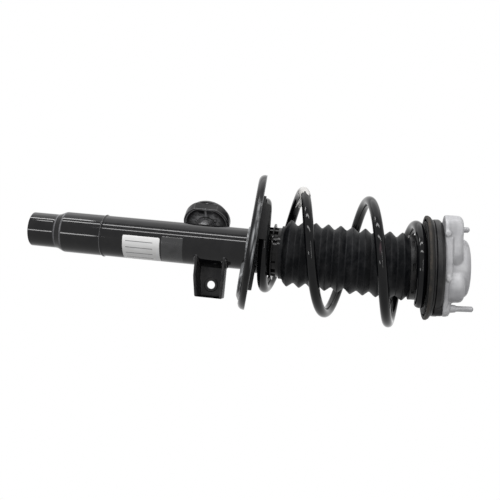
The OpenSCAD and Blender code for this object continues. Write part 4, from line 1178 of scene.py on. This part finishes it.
def wallForms(centres):
    # the collar round the small lobe's stud, the slab of the flat wall, the flank's disc, and the bar
    c = casting
    low, top = c["low"], c["tops"][0]
    r0, r1 = c["collarR"]
    collar = rounded([[0, 0], [r0, 0], [r1, c["collarTop"]], [0, c["collarTop"]]], [0, 0, 0.5, 0], 5, False)
    collar = turnedAt(collar, 40, centres[1])
    x0, y, (y1, y2) = centres[0][0], c["wallY"], c["slabY"]
    slab = [[x0, y], [0.3 * x0, y], [0.02 * x0, y1], [0.02 * x0, y2], [x0, 0.35 * y]]
    slab = pushed(rounded(slab, [3, 6, 6, 2, 2], 7),
                  [[low + 0.5, 0], [top - 6, 0], [top - 3, -0.8], [top - 1, -2.4], [top, -5.0]])
    x, y, r, flankTop = c["flank"]
    flank = turnedAt(rounded(box(0, r, low, flankTop), [0, 1.0, 8.0, 0], 12, False), 90, (x, y))
    x0, x1, h0, h1 = c["bar"]
    soft = 1.2
    bar = pushed(rounded(box(x0, x1, c["nearY"] - 0.7, c["nearY"] + 6.3), soft, 5),
                 [[h0, -soft], [h0 + soft, 0], [h1 - soft, 0], [h1 - 0.3 * soft, -0.35 * soft], [h1, -soft]])
    return [shell(collar), shell(slab, caps=True), shell(flank), shell(bar, caps=True)]


def housingForms():
    c = casting
    low, soft = c["low"] + 0.2, c["shoulder"]
    bend = arcPoints(c["housingR"] - soft, c["top"] - soft, soft, 0, 90, 9)
    dome = np.concatenate([[[0, low], [c["housingR"], low]], bend, [[0, c["top"]]]])
    forms = [shell(turnedAt(dome, 120))]
    r = c["bossR"]
    for x, h in c["bosses"]:
        boss = turnedAt(rounded(box(0, r, 0, r + 1), [0, 0, 1.0, 0], 5, False), 32)
        forms.append(shell(np.stack([boss[..., 0] + x, c["nearY"] + 3 - boss[..., 2], boss[..., 1] + h], -1)))
    return forms


def addCasting():
    c = casting
    low, top = c["low"], c["top"]
    turns = [math.radians(a) for a in c["angles"]]
    centres = [c["far"] * np.array([math.cos(t), math.sin(t)]) for t in turns]
    parts = [flangeForm(centres, turns)]
    for k, (p, t) in enumerate(zip(centres, turns)):
        parts += lobeForms(k, p, t)
    parts += wallForms(centres) + housingForms()
    body = makePiece("mountCasting", joined(*[(inMount(v), q, t) for v, q, t in parts]), "castAluminium",
                     "top_mount", ["mount_casting"], weld=1e-6)
    # one skin over all of it, softened like a casting, then bored
    skin = body.modifiers.new("skin", "REMESH")
    skin.mode, skin.voxel_size = "VOXEL", c["voxel"] * mm
    soft = body.modifiers.new("soft", "SMOOTH")
    soft.factor, soft.iterations = 0.5, 12
    bakeModifiers(body)
    bore = turnedAt([[0, low - 3], [c["bushR"], low - 3], [c["bushR"], c["bushTop"]],
                     [c["mouthR"], c["bushTop"]], [c["mouthR"], top + 3], [0, top + 3]], 120)
    cutWith(body, newObject("bore", shell(inMount(bore))))
    smoothed(body.data, 40)


addCasting()
print("top mount cast")


# threaded studs and the rod's nut

studs = dict(angles=(211.5, 331.5, 91.5), far=57.0, low=-7.5, base=(15.7, 10.0, 10.0), tip=(24.0, 31.0, 31.0),
             shankR=4.0, threadR=3.6, deep=0.2, pitch=1.25, point=2.6, sides=36, perTurn=8)


def addStuds():
    s = studs
    forms = []
    u = np.radians(np.linspace(0, 360, s["sides"], endpoint=False))
    for a, base, tip in zip(s["angles"], s["base"], s["tip"]):
        rows = int((tip - base) / s["pitch"] * s["perTurn"]) + 2
        h = np.concatenate([[s["low"], s["low"], base - 0.2], np.linspace(base, tip, rows), [tip]])[:, None]
        # r(u, h) = thread radius less a sharp wave that climbs one pitch a turn, drawn in at the tip
        wave = np.abs(((h / s["pitch"] - u[None] / (2 * np.pi)) % 1) * 2 - 1)
        r = s["threadR"] - s["deep"] * wave * np.clip((h - base - 1.5) / 0.8, 0, 1)
        r -= np.clip((h - tip + s["point"]) / s["point"], 0, 1) ** 2.2 * 2.4
        r[:3] = s["shankR"]
        r[0], r[-1] = 0, 0
        x, y = s["far"] * math.cos(math.radians(a)), s["far"] * math.sin(math.radians(a))
        grid = np.stack([x + r * np.cos(u), y + r * np.sin(u), np.broadcast_to(h, r.shape)], -1)
        forms.append(shell(inMount(grid)))
    makePiece("towerStuds", joined(*forms), "studPlating", "top_mount", ["mount_studs"],
              sharp=50, weld=1e-6)


rodNut = dict(low=467.5, high=478.5, boreR=7.0, flat=10.0, corner=11.55)


def addRodNut():
    n = rodNut
    low, high, bore, flat, corner = n["low"], n["high"], n["boreR"], n["flat"], n["corner"]
    h = np.array([low, low, low + 0.5, low + 1.4, high - 1.4, high - 0.5, high, high, high - 1.2, low + 1.2])
    cone = np.array([bore + 1.1, flat - 0.4, corner - 0.7, corner, corner, corner - 0.7, flat - 0.4,
                     bore + 1.1, bore, bore])
    u = np.linspace(0, 360, 96, endpoint=False)[:, None]
    # six flats: r(u) = flat / cos of the angle from the nearest flat's middle, under two end cones
    r = np.minimum(flat / np.cos(np.radians(u % 60 - 30)), cone[None, :])
    grid = np.stack([r * np.cos(np.radians(u)), r * np.sin(np.radians(u)), np.broadcast_to(h, r.shape)], -1)
    makePiece("rodNut", ringShell(inStrut(grid)), "nutPlating", "rod_and_seat", ["rod_nut"],
              sharp=22)


addStuds()
addRodNut()
print("studs and nut threaded")


# hose bracket: a pressed channel with a flared lower flange

bracket = dict(z=133.5, width=38.5, thick=3.5, face=-2.0, back=1.5, near=-24.0, flare=2.0, reach=68.0,
               slant=4.2, slantFrom=42, holeX=52.0, holeZ=152.75, holeR=5.3, padR=9.8, padH=0.8, tubeR=27.5)


def bracketChannel():
    # point(u, v) = (x(u), y(v), z(v)): the channel's section carried from the tube's wall to its reach
    b = bracket
    low, high, t = b["z"], b["z"] + b["width"], b["thick"]
    outline = rounded([[b["near"], low - b["flare"]], [b["back"], low - 0.2], [b["back"], high],
                       [b["near"], high], [b["near"], high - t], [b["face"], high - t], [b["face"], low + t],
                       [b["near"], low - b["flare"] + t]], [0.9, 4.2, 4.2, 0.9, 0.9, 1.6, 1.6, 0.9], 7)
    share = np.concatenate([np.linspace(0, 0.95, 14), 1 - np.array([0.03, 0.008, 0.0])])[:, None]
    shrink = np.concatenate([np.zeros(15), [-0.35, -0.9]])[:, None, None]
    y, z = outline.T
    area = 0.5 * (y * np.roll(z, -1) - np.roll(y, -1) * z).sum()
    yz = outline[None] + shrink * outward(outline)[None] * np.sign(area)
    start = np.sqrt((b["tubeR"] - 0.9) ** 2 - y ** 2)[None]
    x = start + share * (b["reach"] - start)
    # the lower corner is drawn in towards the end
    inward = np.clip((x - b["slantFrom"]) / (b["reach"] - b["slantFrom"]), 0, 1)
    inward = b["slant"] * inward * np.clip((low + 14 - yz[..., 1]) / 8, 0, 1)
    return shell(inStrut(np.stack([x, yz[..., 0], yz[..., 1] + inward], -1)))


def acrossBracket(grid, y):
    # a turned grid laid over, with its axis along Y through the hole
    x, z = grid[..., 0] + bracket["holeX"], grid[..., 1] + bracket["holeZ"]
    return inStrut(np.stack([x, grid[..., 2] + y, z], -1))


def bracketWelds():
    # each run: its height, its two ends in y, and whether it follows the flared flange
    b = bracket
    low, high, slope = b["z"], b["z"] + b["width"], -b["flare"] / (b["near"] - b["back"])
    runs = [(low - 0.5, -23.5, -9, True), (low + 2.6, -23, -6, True), (high + 0.6, -23.5, -8, False),
            (high - 4.0, -22, -6, False)]
    forms = []
    for k, (z, y0, y1, flared) in enumerate(runs):
        y = np.linspace(y0, y1, 40)
        height = z + (slope * (y - b["back"]) if flared else 0 * y)
        path = np.stack([np.sqrt((b["tubeR"] + 0.6) ** 2 - y ** 2), y, height], -1)
        forms.append(shell(inStrut(weldBead(path, 1.9, k)), caps=True))
    return forms


def addBracket():
    b = bracket
    body = makePiece("hoseBracket", bracketChannel(), "bracketPaint", "strut_tube", ["hose_bracket"])
    mendMesh(body.data, fill=True)
    drill = turnedAt(box(0, b["holeR"], -12, 12), 64)
    cutWith(body, newObject("drill", shell(acrossBracket(drill, 0))))
    loop = rounded([[b["holeR"], 0.6], [b["holeR"], -b["padH"]], [b["padR"] - 1, -b["padH"]],
                    [b["padR"], 0.3], [b["padR"] - 1, 0.6]], [0.1, 0.5, 0.6, 0.3, 0.3], 5)
    pad = acrossBracket(turned(loop, 72), b["face"])
    makePiece("bracketPad", ringShell(pad), "bracketPaint", "strut_tube")
    makePiece("bracketWeld", joined(*bracketWelds()), "weldPaint", "strut_tube")


addBracket()

can = dict(r=32.0, low=40.0, high=53.0, neckR=13.0, recess=1.5, rim=4.0, flat=28.0, highlightAndRubWidth=0.9, beadR=13.5,
           beadTubeR=27.9)


def addCan():
    c = can
    r, low, high, inner = c["r"], c["low"], c["high"], c["r"] - c["rim"]
    loop = rounded([[c["neckR"], low + c["recess"]], [inner, low + c["recess"]], [inner + 0.6, low], [r, low],
                    [r, high], [c["neckR"], high]], [0, 0.9, 0.7, 1.6, 1.6, 0], 6)
    grid = turned(loop, 160)
    # one side is flat, and the recess keeps its rim there
    within = np.hypot(grid[..., 0], grid[..., 1]) < inner + 0.3
    grid[..., 1] = np.minimum(grid[..., 1], np.where(within, c["flat"] - 3.0, c["flat"]))
    obj = makePiece("valveCan", ringShell(inValve(grid)), "canPaint", "strut_tube", ["valve_can"])
    # the paint is lighter along the rim's edges, where the attribute says
    highlightAndRub = 0
    for x, h, amount in ((inner + 0.6, low, 1.0), (r, low, 0.6), (r, high, 0.5)):
        highlightAndRub = highlightAndRub + amount * np.exp(-(np.hypot(loop[:, 0] - x, loop[:, 1] - h) / c["highlightAndRubWidth"]) ** 2)
    markPoints(obj, "highlightAndRub", np.broadcast_to(np.clip(highlightAndRub, 0, 1), grid.shape[:2]))
    # the bead follows the saddle where the neck meets the tube
    turn = np.radians(np.linspace(0, 360, 121))
    y = c["beadR"] * np.sin(turn)
    saddle = np.stack([c["beadR"] * np.cos(turn), y, np.sqrt(c["beadTubeR"] ** 2 - y ** 2)], -1)
    makePiece("neckWeld", shell(inValve(weldBead(saddle, 1.8, 3, True))), "neckPaint", "strut_tube")


addCan()
print("bracket and can fitted")


# bare sticker and clear film on the tube

sticker = dict(z=(32.6, 83.7), turn=(-98.0, -12.0), r=27.56, thick=0.14, corner=2.2)
film = dict(z=(85.2, 114.5), turn=(-104.0, -20.0), r=27.54, thick=0.08, corner=1.0)


def onTube(name, settings, finish):
    # the sheet's plane: s along the strut and t round it, bent onto the tube: (r cos t, r sin t, s)
    c = settings
    halfS, halfT = (c["z"][1] - c["z"][0]) / 2, math.radians(c["turn"][1] - c["turn"][0]) / 2 * c["r"]
    ring = evenly(rounded(box(-halfS, halfS, -halfT, halfT), c["corner"], 6), 180)
    s = np.concatenate([ring[None] * f for f in np.linspace(0.02, 1, 24)])
    r = np.full(s.shape[:2], c["r"] + c["thick"])
    r[-1] = c["r"] - 0.15
    turn = s[..., 1] / c["r"] + math.radians(sum(c["turn"]) / 2)
    grid = np.stack([r * np.cos(turn), r * np.sin(turn), s[..., 0] + sum(c["z"]) / 2], -1)
    verts, quads, tris = shell(inStrut(grid), caps=True)
    obj = makePiece(name, (verts[:-1], quads, tris[:len(ring)]), finish, "strut_tube", sharp=60)
    markPoints(obj, "sheetS", np.append(s[..., 0] / halfS, 0))
    markPoints(obj, "sheetT", np.append(s[..., 1] / halfT, 0))


onTube("sticker", sticker, "stickerPaper")
onTube("clearFilm", film, "filmSheet")
print("sticker and film laid on")


print("all pieces made")
